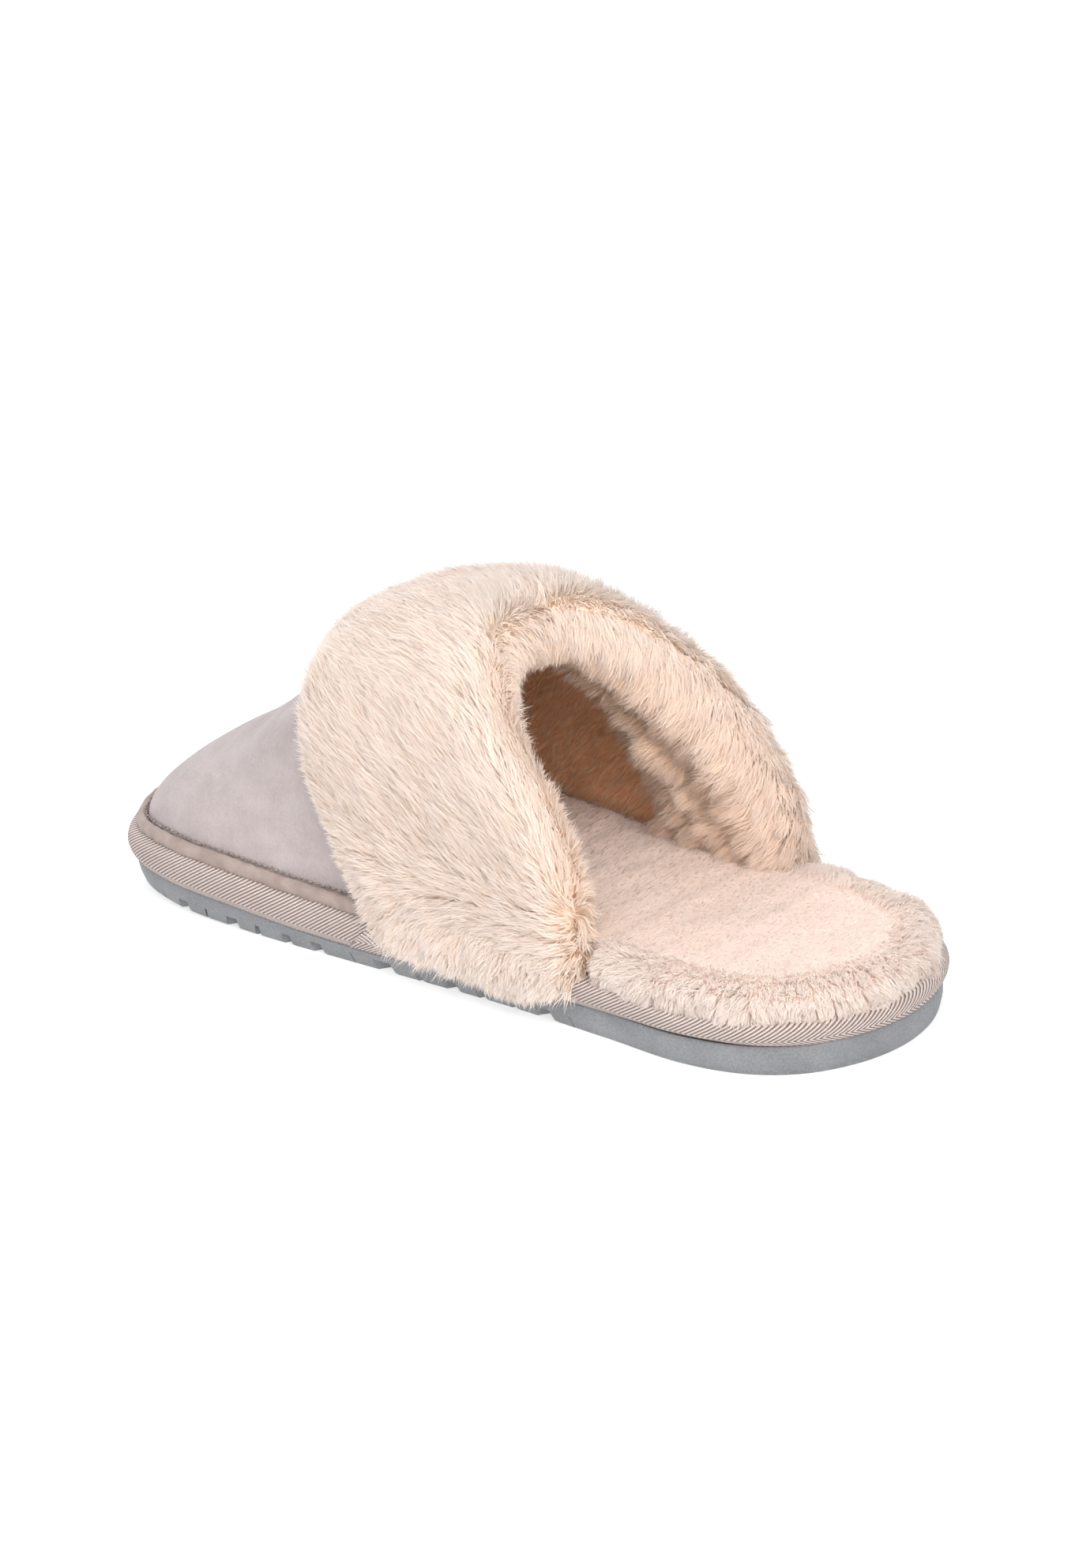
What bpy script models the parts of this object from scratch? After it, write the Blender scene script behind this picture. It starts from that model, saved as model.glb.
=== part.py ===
"""Scuff slipper for the right foot: lugged outsole, plush footbed, edge tape, piping, hollow upper
and a deep fur collar folded over the throat. Metres, +Z up, +Y towards the toe, +X towards the
wearer's right. The origin lies on the floor under the centre of the heel's curve."""

import math
from functools import lru_cache

import bmesh
import bpy
import numpy as np
from mathutils import Vector

# Outsole
LENGTH = 0.256
BALL_WIDTH = 0.087
HEEL_CENTRE = 0.037
SOLE_THICKNESS = 0.0081
SOLE_TAPER = 0.0013
TOE_SPRING = 0.0034
SPRING_START = 0.68
GROOVE_DEPTH = 0.0033
ZIGZAG_REACH = 0.0028
ZIGZAG_PITCH = 0.0150

# Tape around the footbed's edge, and the piping above it
TAPE_HEIGHT = 0.0083
TAPE_THICKNESS = 0.0014
TAPE_BULGE = 0.0017
TAPE_LIP = 0.0034
PIPING_WIDTH = 0.0028
PIPING_HEIGHT = 0.0036
PIPING_TOE_DIP = 0.35

# Plush footbed
PLUSH_HEIGHT = 0.0080
PLUSH_ROUND = 0.0052
PLUSH_REST = 0.0022
PLUSH_TOE_REST = 0.0075
PLUSH_OVER_LIP = 0.76
PLUSH_TUFT = 0.0007
PLUSH_STEP = 0.0100

# Upper
UPPER_INSET = 0.0045
WALL = 0.0024
INSTEP_HEIGHT = 0.0715
ARCH_POWER = 0.80
THROAT_FOOT_MEDIAL = 0.0790
THROAT_FOOT_LATERAL = 0.0680
THROAT_TOP = 0.1190

# Fur collar
COLLAR_FOOT = 0.1430
COLLAR_TOP = 0.1775
COLLAR_POWER = 0.65
FUR_CROWN = 0.0128
FUR_FOOT_MEDIAL = 0.0078
FUR_FOOT_LATERAL = 0.0100
FACING_CROWN = 0.0082
FACING_FOOT = 0.0042
FACING_DEPTH = 0.034
ROLL_CROWN = 0.0112
ROLL_FOOT = 0.0080
SKIRT_THICKNESS = 0.0025
SKIRT_DROP = 0.0097
SKIRT_FRONT_REST = 0.0080
SKIRT_REAR_REACH = 0.0060
SKIRT_ROOT_LOW = 0.0020
SKIRT_ROOT_HIGH = 0.0062
SKIRT_SHOULDER = 0.0012
LOCK_LIFT = 0.0016
LOCK_LENGTH = 0.0175
LOCK_WIDTH = 0.0100
LOCK_THICKNESS = 0.0042
LOCK_ROOT_DEPTH = 0.0030

# Clearances
FIT = 0.0003
FUR_FIT = 0.0004

# Facets
RING_STEPS = 32
UPPER_COLUMNS = 32
UPPER_ROWS = 16
COLLAR_STATIONS = 45
SKIRT_STEPS = 14

# share of the length, then the half widths on the big toe's side and on the little toe's side,
# as shares of the ball's width
OUTLINE = (
    (0.000, 0.000, 0.000),
    (0.012, 0.166, 0.166),
    (0.040, 0.292, 0.292),
    (0.090, 0.388, 0.388),
    (0.160, 0.432, 0.432),
    (0.260, 0.424, 0.444),
    (0.400, 0.417, 0.466),
    (0.520, 0.428, 0.514),
    (0.640, 0.440, 0.560),
    (0.760, 0.450, 0.540),
    (0.870, 0.440, 0.431),
    (0.950, 0.356, 0.276),
    (0.985, 0.218, 0.115),
    (1.000, 0.038, -0.038),
)

# share of the length, outsole's thickness and tape's height as shares of their largest
LAYERS = (
    (0.00, 1.00, 0.70),
    (0.15, 1.00, 0.71),
    (0.30, 0.98, 0.75),
    (0.42, 0.83, 0.86),
    (0.55, 0.68, 0.96),
    (0.66, 0.72, 1.00),
    (0.77, 0.89, 1.00),
    (0.86, 0.93, 0.98),
    (1.00, 0.80, 0.92),
)

# share of the tape's height, how far its face stands out as a share of its bulge
TAPE_FACE = (
    (0.28, 0.85),
    (0.55, 1.00),
    (0.86, 0.35),
)
TAPE_BACK = (0.80, 0.55, 0.28)

# share of the plush's height over the tape, share of its reach over the tape's lip, share of its
# rounding, and whether its tufts start outwards or inwards
PLUSH_SIDE = (
    (0.14, 1.0, 0.00, 0),
    (0.46, 1.1, 0.00, 1),
    (0.82, 0.6, 0.25, -1),
)

# share of the upper's length, rise of its crown over its lower edge as a share of the instep
CROWN = (
    (0.00, 0.70),
    (0.20, 0.83),
    (0.32, 0.93),
    (0.42, 0.985),
    (0.50, 1.00),
    (0.58, 0.955),
    (0.66, 0.86),
    (0.74, 0.68),
    (0.82, 0.49),
    (0.88, 0.37),
    (0.93, 0.26),
    (0.97, 0.15),
    (1.00, 0.00),
)

# share of the way from a foot of the throat to its crown, how far its edge has moved towards the
# toe on the big toe's side and on the little toe's side
THROAT = (
    (0.00, 0.00, 0.00),
    (0.20, 0.13, 0.07),
    (0.35, 0.37, 0.20),
    (0.47, 0.64, 0.33),
    (0.56, 0.79, 0.45),
    (0.72, 0.93, 0.68),
    (1.00, 1.00, 1.00),
)

# place along the length and width of each groove that shows on the sole's side, then the heel's
# closed grooves with the half length that keeps their ends inside the sole, all as shares of
# the length
GROOVES = (
    (0.877, 0.0035),
    (0.840, 0.0175),
    (0.805, 0.0035),
    (0.766, 0.0195),
    (0.728, 0.0090),
    (0.685, 0.0150),
    (0.642, 0.0195),
    (0.592, 0.0040),
    (0.550, 0.0270),
    (0.504, 0.0098),
    (0.462, 0.0210),
    (0.423, 0.0130),
    (0.381, 0.0110),
    (0.338, 0.0280),
    (0.298, 0.0035),
)
HEEL_GROOVES = (
    (0.232, 0.0120, 0.105),
    (0.080, 0.0120, 0.085),
)

# share of the collar's length from the throat edge to its front border, share of the fur's depth
OUTER_FUR = (
    (1.00, 0.26),
    (0.975, 0.56),
    (0.91, 0.83),
    (0.81, 0.96),
    (0.69, 1.01),
    (0.57, 1.00),
    (0.45, 1.00),
    (0.33, 1.00),
    (0.21, 1.00),
    (0.09, 1.00),
)
ROLL_STEPS = 7
INNER_FUR = (
    (0.28, 1.00),
    (0.60, 0.94),
    (0.86, 0.72),
    (1.00, 0.22),
)
UNDER_INNER = (0.97, 0.66, 0.33)
UNDER_OUTER = (0.09, 0.21, 0.33, 0.45, 0.57, 0.69, 0.81, 0.91, 0.98)

# share of the collar's length where a row of locks starts, depth of their tips as a share of the
# fur's, share of the span left free at each foot, number of locks
LOCK_ROWS = (
    (0.84, 0.86, 0.10, 10),
    (0.60, 1.07, 0.145, 9),
    (0.36, 1.08, 0.10, 10),
)

# share from the skirt's front to its rear, how far its lower edge hangs as a share of the drop
SKIRT = (
    (0.00, 0.30),
    (0.10, 0.55),
    (0.30, 0.58),
    (0.45, 0.76),
    (0.62, 1.00),
    (0.80, 0.90),
    (0.91, 0.58),
    (1.00, 0.18),
)

MEDIAL = -1
LATERAL = 1


def column(table, index):
    return np.array([row[index] for row in table])


def smooth(x, xs, ys):
    """Cubic through the rows of a table, each slope taken from the row's neighbours."""
    slopes = np.gradient(ys, xs)
    k = np.clip(np.searchsorted(xs, x, side="right") - 1, 0, len(xs) - 2)
    step = xs[k + 1] - xs[k]
    t = (x - xs[k]) / step
    start = (1 + 2 * t) * (1 - t) ** 2 * ys[k] + t * (1 - t) ** 2 * step * slopes[k]
    end = t * t * (3 - 2 * t) * ys[k + 1] + t * t * (t - 1) * step * slopes[k + 1]
    return start + end


def turn(share):
    """Even steps of this value crowd towards heel and toe, which keeps both ends round."""
    return np.arccos(1 - 2 * np.clip(share, 0, 1)) / math.pi


def half_width(side, place):
    index = 1 if side == MEDIAL else 2
    return smooth(place, turn(column(OUTLINE, 0)), column(OUTLINE, index)) * BALL_WIDTH


@lru_cache(maxsize=None)
def ring(inset, steps=RING_STEPS):
    """The sole's outline moved inwards, as points round the toe and back round the heel."""
    place = np.linspace(0, 1, steps + 1)
    along = (1 - np.cos(math.pi * place)) / 2 * LENGTH - HEEL_CENTRE
    lateral = np.column_stack([half_width(LATERAL, place), along])
    medial = np.column_stack([-half_width(MEDIAL, place), along])
    points = np.concatenate([lateral, medial[-2:0:-1]])
    tangent = np.roll(points, -1, axis=0) - np.roll(points, 1, axis=0)
    outward = np.column_stack([tangent[:, 1], -tangent[:, 0]])
    outward /= np.linalg.norm(outward, axis=1)[:, None]
    return points - outward * inset


@lru_cache(maxsize=None)
def fine_edges(inset):
    steps = RING_STEPS * 6
    points = ring(inset, steps)
    lateral = points[:steps + 1]
    medial = np.concatenate([points[:1], points[:steps - 1:-1]])
    return {LATERAL: lateral, MEDIAL: medial}


def edge_x(inset, side, y):
    points = fine_edges(round(inset, 7))[side]
    return np.interp(y, points[:, 1], points[:, 0])


def along_share(y):
    return np.clip((y + HEEL_CENTRE) / LENGTH, 0, 1)


def spring(y):
    share = np.clip((along_share(y) - SPRING_START) / (1 - SPRING_START), 0, 1)
    return TOE_SPRING * share ** 2


def sole_top(y):
    share = smooth(along_share(y), column(LAYERS, 0), column(LAYERS, 1))
    return spring(y) + SOLE_THICKNESS * share


def tape_height(y):
    return TAPE_HEIGHT * smooth(along_share(y), column(LAYERS, 0), column(LAYERS, 2))


def tape_top(y):
    return sole_top(y) + FIT + tape_height(y)


def ledge(y):
    """The footbed's ledge, under the tape's lip and the upper's lower edge."""
    return tape_top(y) - TAPE_THICKNESS - FIT


def upper_base(y):
    return ledge(y) + FIT


def plush_top(y):
    return tape_top(y) + PLUSH_HEIGHT


def upper_toe(out=0.0):
    return LENGTH - HEEL_CENTRE - UPPER_INSET + min(out, 0.0)


def crown_rise(y, out):
    """Rise of the crown line over the upper's lower edge, for a surface moved out by `out`."""
    share = (y + HEEL_CENTRE) / (upper_toe(out) + HEEL_CENTRE)
    rise = smooth(turn(share), turn(column(CROWN, 0)), column(CROWN, 1))
    return np.maximum(rise, 0.0) * (INSTEP_HEIGHT + out)


def arch(angle, y, out=0.0):
    """Point over the foot: angle 0 at the big toe's side, pi at the little toe's side."""
    inset = UPPER_INSET - out
    left = edge_x(inset, MEDIAL, y)
    right = edge_x(inset, LATERAL, y)
    across = math.copysign(abs(math.cos(angle)) ** ARCH_POWER, math.cos(angle))
    up = abs(math.sin(angle)) ** ARCH_POWER
    x = (left + right) / 2 - (right - left) / 2 * across
    return (x, y, upper_base(y) + crown_rise(y, out) * up)


def throat(angle):
    """How far along the throat edge lies; the shares of both sides meet at the crown."""
    angle = min(max(angle, 0.0), math.pi)
    medial = angle < math.pi / 2
    foot = THROAT_FOOT_MEDIAL if medial else THROAT_FOOT_LATERAL
    share = 1 - abs(1 - angle / (math.pi / 2))
    rise = smooth(share, column(THROAT, 0), column(THROAT, 1 if medial else 2))
    return float(foot + (THROAT_TOP - foot) * rise - HEEL_CENTRE)


def border(angle):
    rise = abs(math.sin(angle)) ** COLLAR_POWER
    return COLLAR_FOOT + (COLLAR_TOP - COLLAR_FOOT) * rise - HEEL_CENTRE


def material(name, colour, roughness):
    made = bpy.data.materials.new(name)
    made.use_nodes = True
    shader = made.node_tree.nodes["Principled BSDF"]
    shader.inputs["Base Color"].default_value = (*colour, 1.0)
    shader.inputs["Roughness"].default_value = roughness
    shader.inputs["Metallic"].default_value = 0.0
    return made


def add_object(name, bm, collection, look=None):
    bmesh.ops.recalc_face_normals(bm, faces=bm.faces)
    mesh = bpy.data.meshes.new(name)
    bm.to_mesh(mesh)
    bm.free()
    mesh.shade_smooth()
    mesh.set_sharp_from_angle(angle=math.radians(38))
    made = bpy.data.objects.new(name, mesh)
    collection.objects.link(made)
    if look:
        mesh.materials.append(look)
    return made


def add_loops(bm, loops):
    return [[bm.verts.new(point) for point in loop] for loop in loops]


def bridge(bm, rows, close_around=True, close_along=False):
    """Quads between neighbouring rows of points."""
    count = len(rows[0])
    last = len(rows) if close_along else len(rows) - 1
    for i in range(last):
        near, far = rows[i], rows[(i + 1) % len(rows)]
        for k in range(count if close_around else count - 1):
            n = (k + 1) % count
            bm.faces.new((near[k], near[n], far[n], far[k]))


def cap_across(bm, row):
    """Closes a ring of the outline with strips from side to side."""
    count = len(row)
    half = count // 2
    bm.faces.new((row[0], row[1], row[-1]))
    for k in range(1, half - 1):
        bm.faces.new((row[k], row[k + 1], row[count - k - 1], row[count - k]))
    bm.faces.new((row[half - 1], row[half], row[half + 1]))


def ring_level(inset, height):
    """A ring at one inset, or one for each of its points, and a height from each point's y."""
    points = ring(0.0)
    if np.ndim(inset) == 0:
        moved = ring(inset)
    else:
        full = ring(0.001)
        moved = points + (full - points) * (np.asarray(inset) / 0.001)[:, None]
    return [(x, y, float(height(y))) for x, y in moved]


def stack(name, levels, collection, look):
    bm = bmesh.new()
    rows = add_loops(bm, levels)
    bridge(bm, rows)
    cap_across(bm, rows[0])
    cap_across(bm, rows[-1])
    return add_object(name, bm, collection, look)


def zigzag(x):
    phase = x / ZIGZAG_PITCH
    return ZIGZAG_REACH * (4 * abs(phase - math.floor(phase + 0.5)) - 1)


def groove_cutter(number, place, width, reach, depth, collection):
    """A zigzag groove, wider at its mouth than at its root."""
    y = place * LENGTH - HEEL_CENTRE
    half = width * LENGTH / 2
    slope = min(half * 0.35, 0.0006)
    turns = math.ceil(reach / (ZIGZAG_PITCH / 2))
    floor = float(spring(y))
    bm = bmesh.new()
    rows = []
    for step in range(-turns, turns + 1):
        x = max(-reach, min(reach, step * ZIGZAG_PITCH / 2))
        middle = y + zigzag(x)
        rows.append((
            (x, middle - half - slope, floor - GROOVE_DEPTH),
            (x, middle + half + slope, floor - GROOVE_DEPTH),
            (x, middle + half - slope, floor + depth),
            (x, middle - half + slope, floor + depth),
        ))
    rows = add_loops(bm, rows)
    bridge(bm, rows)
    bm.faces.new(rows[0])
    bm.faces.new(reversed(rows[-1]))
    cutter = add_object(f"groove_cutter_{number:02d}", bm, collection)
    cutter.hide_render = True
    cutter.display_type = "WIRE"
    return cutter


def boolean(target, other, operation):
    step = target.modifiers.new(other.name, "BOOLEAN")
    step.operation = operation
    step.solver = "EXACT"
    step.object = other


def make_outsole(collection, cutters):
    look = material("sole_rubber", (0.62, 0.65, 0.65), 0.6)
    levels = [
        ring_level(SOLE_TAPER, spring),
        ring_level(SOLE_TAPER * 0.3, lambda y: spring(y) + GROOVE_DEPTH),
        ring_level(0.0, sole_top),
    ]
    sole = stack("outsole", levels, collection, look)
    number = 0
    for place, width in GROOVES:
        cutter = groove_cutter(number, place, width, BALL_WIDTH, GROOVE_DEPTH, cutters)
        boolean(sole, cutter, "DIFFERENCE")
        number += 1
    for place, width, reach in HEEL_GROOVES:
        cutter = groove_cutter(number, place, width, reach * LENGTH, GROOVE_DEPTH * 0.6, cutters)
        boolean(sole, cutter, "DIFFERENCE")
        number += 1
    return sole


def tape_inside(share):
    """How far the tape's inner face stands out from the outline at a share of its height."""
    return TAPE_BULGE * math.sin(math.pi * min(share * 1.15, 1.0)) - TAPE_THICKNESS


def make_tape(collection):
    look = material("edge_tape", (0.72, 0.63, 0.57), 0.85)
    high, middle, low = TAPE_BACK
    profile = [(FIT, 0.0, 0.0)]
    profile += [(TAPE_BULGE * reach, share, 0.0) for share, reach in TAPE_FACE]
    profile += [
        (-TAPE_LIP / 2, 1.0, 0.0),
        (-TAPE_LIP, 1.0, -FIT),
        (-TAPE_LIP, 1.0, -TAPE_THICKNESS),
        (tape_inside(high), 1.0, -TAPE_THICKNESS),
        (tape_inside(middle), middle, 0.0),
        (tape_inside(low), low, 0.0),
        (FIT - TAPE_THICKNESS, 0.0, 0.0),
    ]
    loops = []
    for out, share, extra in profile:
        loops.append(ring_level(
            -out, lambda y: sole_top(y) + FIT + tape_height(y) * share + extra))
    bm = bmesh.new()
    rows = add_loops(bm, loops)
    bridge(bm, rows, close_along=True)
    return add_object("edge_tape", bm, collection, look)


def under_collar(points):
    """0 round the open heel, 1 from just behind the collar's feet to the toe."""
    foot = np.where(points[:, 0] > 0, THROAT_FOOT_LATERAL, THROAT_FOOT_MEDIAL)
    start = foot - ROLL_FOOT - HEEL_CENTRE - 1.2 * PLUSH_STEP
    blend = np.clip((points[:, 1] - start) / PLUSH_STEP, 0, 1)
    return blend * blend * (3 - 2 * blend)


def plush_inset(points):
    """The plush meets the tape's lip at the open heel, and keeps inside the upper further on."""
    heel = TAPE_LIP + FIT
    inside = UPPER_INSET + WALL + PLUSH_REST
    toe = np.clip((along_share(points[:, 1]) - 0.82) / 0.18, 0, 1)
    return heel + (inside - heel) * under_collar(points) + PLUSH_TOE_REST * toe


def make_insole(collection):
    look = material("insole_plush", (0.93, 0.78, 0.66), 0.95)
    points = ring(0.0)
    inset = plush_inset(points)
    over = TAPE_LIP * PLUSH_OVER_LIP * (1 - under_collar(points))
    tuft = PLUSH_TUFT * np.where(np.arange(len(points)) % 2, 1.0, -1.0)
    high, middle, low = TAPE_BACK
    levels = [
        ring_level(TAPE_THICKNESS, lambda y: sole_top(y) + FIT),
        ring_level(FIT - tape_inside(low), lambda y: sole_top(y) + tape_height(y) * low),
        ring_level(FIT - tape_inside(middle), lambda y: sole_top(y) + tape_height(y) * middle),
        ring_level(2 * FIT - tape_inside(high), ledge),
        ring_level(inset, ledge),
        ring_level(inset, lambda y: tape_top(y) + FIT),
    ]
    for rise, reach, rounding, way in PLUSH_SIDE:
        moved = inset - over * reach + PLUSH_ROUND * rounding + tuft * way
        levels.append(ring_level(moved, lambda y: tape_top(y) + rise * PLUSH_HEIGHT))
    levels.append(ring_level(inset + PLUSH_ROUND, plush_top))
    return stack("insole", levels, collection, look)


def piping_share(y):
    """The binding is pulled lower round the toe."""
    return 1 - PIPING_TOE_DIP * float(np.clip((along_share(y) - 0.88) / 0.12, 0, 1))


def make_piping(collection):
    """Rounded binding on the tape's lip, from one foot of the collar round the toe."""
    look = material("piping_binding", (0.62, 0.52, 0.45), 0.8)
    inner = FIT - UPPER_INSET
    profile = (
        (inner, FIT),
        (inner + PIPING_WIDTH * 0.80, FIT),
        (inner + PIPING_WIDTH, PIPING_HEIGHT * 0.32),
        (inner + PIPING_WIDTH * 0.86, PIPING_HEIGHT * 0.76),
        (inner + PIPING_WIDTH * 0.42, PIPING_HEIGHT),
        (inner, PIPING_HEIGHT * 0.94),
    )
    foot = COLLAR_FOOT - HEEL_CENTRE
    meeting = foot_angle(foot, 0.0, float(tape_top(foot)) + PIPING_HEIGHT + FIT)
    start = border(meeting) + 3 * FIT
    count = 2 * RING_STEPS
    base = ring(0.0)
    keep = [k for k in range(count) if base[k][1] > start + 0.002]
    levels = []
    for out, up in profile:
        levels.append(ring_level(-out, lambda y: tape_top(y) + up * piping_share(y)))
    sections = [[level[k] for level in levels] for k in keep]
    for side, at in ((LATERAL, 0), (MEDIAL, len(sections))):
        section = []
        for out, up in profile:
            x = float(edge_x(-out, side, start))
            section.append((x, start, float(tape_top(start)) + up * piping_share(start)))
        sections.insert(at, section)
    bm = bmesh.new()
    rows = add_loops(bm, sections)
    bridge(bm, rows)
    bm.faces.new(rows[0])
    bm.faces.new(reversed(rows[-1]))
    return add_object("piping", bm, collection, look)


def make_upper(collection):
    """One hollow wall from the throat to the toe, open underneath and at the throat."""
    look = material("vamp_suede", (0.72, 0.67, 0.66), 0.9)
    bm = bmesh.new()
    skins = []
    for out in (0.0, -WALL):
        rows = []
        for row in range(UPPER_ROWS):
            share = math.sin(math.pi / 2 * row / UPPER_ROWS)
            points = []
            for k in range(UPPER_COLUMNS + 1):
                angle = math.pi * k / UPPER_COLUMNS
                rear = throat(angle)
                points.append(arch(angle, rear + (upper_toe(out) - rear) * share, out))
            rows.append(points)
        rows = add_loops(bm, rows)
        bridge(bm, rows, close_around=False)
        tip = bm.verts.new(arch(0.0, upper_toe(out), out))
        for k in range(UPPER_COLUMNS):
            bm.faces.new((rows[-1][k], rows[-1][k + 1], tip))
        skins.append((rows, tip))
    (outer, outer_tip), (inner, inner_tip) = skins
    bridge(bm, [outer[0], inner[0]], close_around=False)
    for side in (0, UPPER_COLUMNS):
        out_edge = [row[side] for row in outer] + [outer_tip]
        in_edge = [row[side] for row in inner] + [inner_tip]
        bridge(bm, [out_edge, in_edge], close_around=False)
    return add_object("upper", bm, collection, look)


def foot_angle(y, out, height):
    """The angle at which the arch, moved out by `out`, reaches a height over the floor."""
    share = (height - upper_base(y)) / crown_rise(y, out)
    return math.asin(min(max(share, 0.0), 1.0) ** (1 / ARCH_POWER))


def ridge(step):
    """Triangle wave over four stations."""
    return 1 - abs((step % 4) / 2 - 1)


def from_feet(medial, lateral, crown, angle):
    foot = medial + (lateral - medial) * (1 - math.cos(angle)) / 2
    return foot + (crown - foot) * math.sin(angle)


def leg(share, reach=0.0):
    """Place along from the throat edge at 0 to the front border at 1, and `reach` further on."""
    return lambda angle: throat(angle) + share * (border(angle) - throat(angle)) + reach


def facing(share):
    return lambda angle: throat(angle) + share * FACING_DEPTH


def collar_point(part, move, out, lift):
    """A point at a share of the span from foot to foot; `move` gives its y from the angle."""
    low = foot_angle(move(0.0), out, float(tape_top(move(0.0))) + lift)
    angle = low + part * (math.pi - 2 * low)
    return arch(angle, move(angle), out)


def outer_depth(part):
    return from_feet(FUR_FOOT_MEDIAL, FUR_FOOT_LATERAL, FUR_CROWN, math.pi * part)


def collar_section(station):
    """One closed section of the fur folded over the throat edge: outside, roll, facing, underside."""
    part = station / (COLLAR_STATIONS - 1)
    middle = math.pi * part

    def place(move, out, lift):
        return collar_point(part, move, out, lift)

    outer_lift = FUR_FIT
    inner_lift = PLUSH_HEIGHT + FUR_FIT
    outside = outer_depth(part)
    pile = from_feet(FACING_FOOT, FACING_FOOT, FACING_CROWN, middle)
    depth_back = from_feet(ROLL_FOOT, ROLL_FOOT, ROLL_CROWN, middle)
    inside = WALL + pile
    points = []
    for row, (share, depth) in enumerate(OUTER_FUR):
        lock = ridge(station + 2 * (row // 2)) * (row % 2)
        reach = share - 0.03 * ridge(station) * (row == 0)
        swell = LOCK_LIFT * (lock - 0.4) * (row > 0)
        points.append(place(leg(reach), FUR_FIT + outside * depth + swell, outer_lift))
    for step in range(ROLL_STEPS):
        swing = math.pi * (step + 0.5) / ROLL_STEPS
        out = (outside - inside) / 2 + (outside + inside) / 2 * math.cos(swing)
        back = (depth_back + LOCK_LIFT * (ridge(station + 2 * step) - 0.5)) * math.sin(swing)
        lift = outer_lift if out > -WALL / 2 else inner_lift
        points.append(place(lambda angle: throat(angle) - back, out, lift))
    for row, (share, depth) in enumerate(INNER_FUR):
        lock = ridge(station + 2 * row) * (row % 2)
        out = -WALL - FUR_FIT - pile * depth + LOCK_LIFT * 0.6 * lock
        points.append(place(facing(share), out, inner_lift))
    for share in UNDER_INNER:
        points.append(place(facing(share), -WALL - FUR_FIT, inner_lift))
    points.append(place(lambda angle: throat(angle) - FUR_FIT, -WALL - FUR_FIT, inner_lift))
    points.append(place(lambda angle: throat(angle) - FUR_FIT, FUR_FIT, outer_lift))
    for share in UNDER_OUTER:
        points.append(place(leg(share), FUR_FIT, outer_lift))
    return points


def cap_fold(bm, row):
    """Closes a foot of the folded fur: each point outside meets the one under it."""
    outer = row[:len(OUTER_FUR)]
    roll = row[len(OUTER_FUR):len(OUTER_FUR) + ROLL_STEPS]
    inner = row[len(OUTER_FUR) + ROLL_STEPS:][:len(INNER_FUR)]
    under = row[len(OUTER_FUR) + ROLL_STEPS + len(INNER_FUR):]
    under_inner = under[:len(UNDER_INNER)]
    inner_edge, outer_edge = under[len(UNDER_INNER):len(UNDER_INNER) + 2]
    under_outer = under[len(UNDER_INNER) + 2:][::-1]
    bm.faces.new((outer[0], outer[1], under_outer[0]))
    for k in range(1, len(outer) - 1):
        bm.faces.new((outer[k], outer[k + 1], under_outer[k], under_outer[k - 1]))
    middle = ROLL_STEPS // 2
    bm.faces.new((outer[-1], roll[0], outer_edge, under_outer[-1]))
    for k in range(middle):
        bm.faces.new((roll[k], roll[k + 1], outer_edge))
    bm.faces.new((roll[middle], inner_edge, outer_edge))
    for k in range(middle, ROLL_STEPS - 1):
        bm.faces.new((roll[k], roll[k + 1], inner_edge))
    bm.faces.new((roll[-1], inner[0], under_inner[-1], inner_edge))
    for k in range(len(inner) - 2):
        bm.faces.new((inner[k], inner[k + 1], under_inner[-2 - k], under_inner[-1 - k]))
    bm.faces.new((inner[-2], inner[-1], under_inner[0]))


def skirt_piece(side, collection):
    """Fur hanging outside the tape at one foot of the collar, before it is fused on."""
    clear = TAPE_BULGE + FIT
    bm = bmesh.new()
    sections = []
    front = COLLAR_FOOT - SKIRT_FRONT_REST - HEEL_CENTRE
    rear = throat(0.0 if side == MEDIAL else math.pi) - SKIRT_REAR_REACH
    for step in range(SKIRT_STEPS + 1):
        share = step / SKIRT_STEPS
        y = front + (rear - front) * share
        top = float(tape_top(y))
        hang = SKIRT_DROP * float(smooth(share, column(SKIRT, 0), column(SKIRT, 1)))
        low = top - hang * (0.86 + 0.14 * (step % 2))
        swell = LOCK_LIFT * 0.5 * (step % 2)
        profile = (
            (clear + SKIRT_THICKNESS * 0.35, low),
            (clear, top + FUR_FIT),
            (-UPPER_INSET * 0.4, top + SKIRT_ROOT_LOW),
            (-UPPER_INSET * 0.4, top + SKIRT_ROOT_HIGH),
            (clear + SKIRT_SHOULDER, top + SKIRT_ROOT_HIGH - FUR_FIT),
            (clear + SKIRT_THICKNESS + swell, top - hang * 0.35),
            (clear + SKIRT_THICKNESS * 0.75 + swell, low + 0.0006),
        )
        sections.append([(float(edge_x(-out, side, y)), y, z) for out, z in profile])
    rows = add_loops(bm, sections)
    bridge(bm, rows)
    bm.faces.new(rows[0])
    bm.faces.new(reversed(rows[-1]))
    piece = add_object("skirt_piece_" + ("medial" if side == MEDIAL else "lateral"), bm, collection)
    piece.hide_render = True
    piece.display_type = "WIRE"
    return piece


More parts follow.
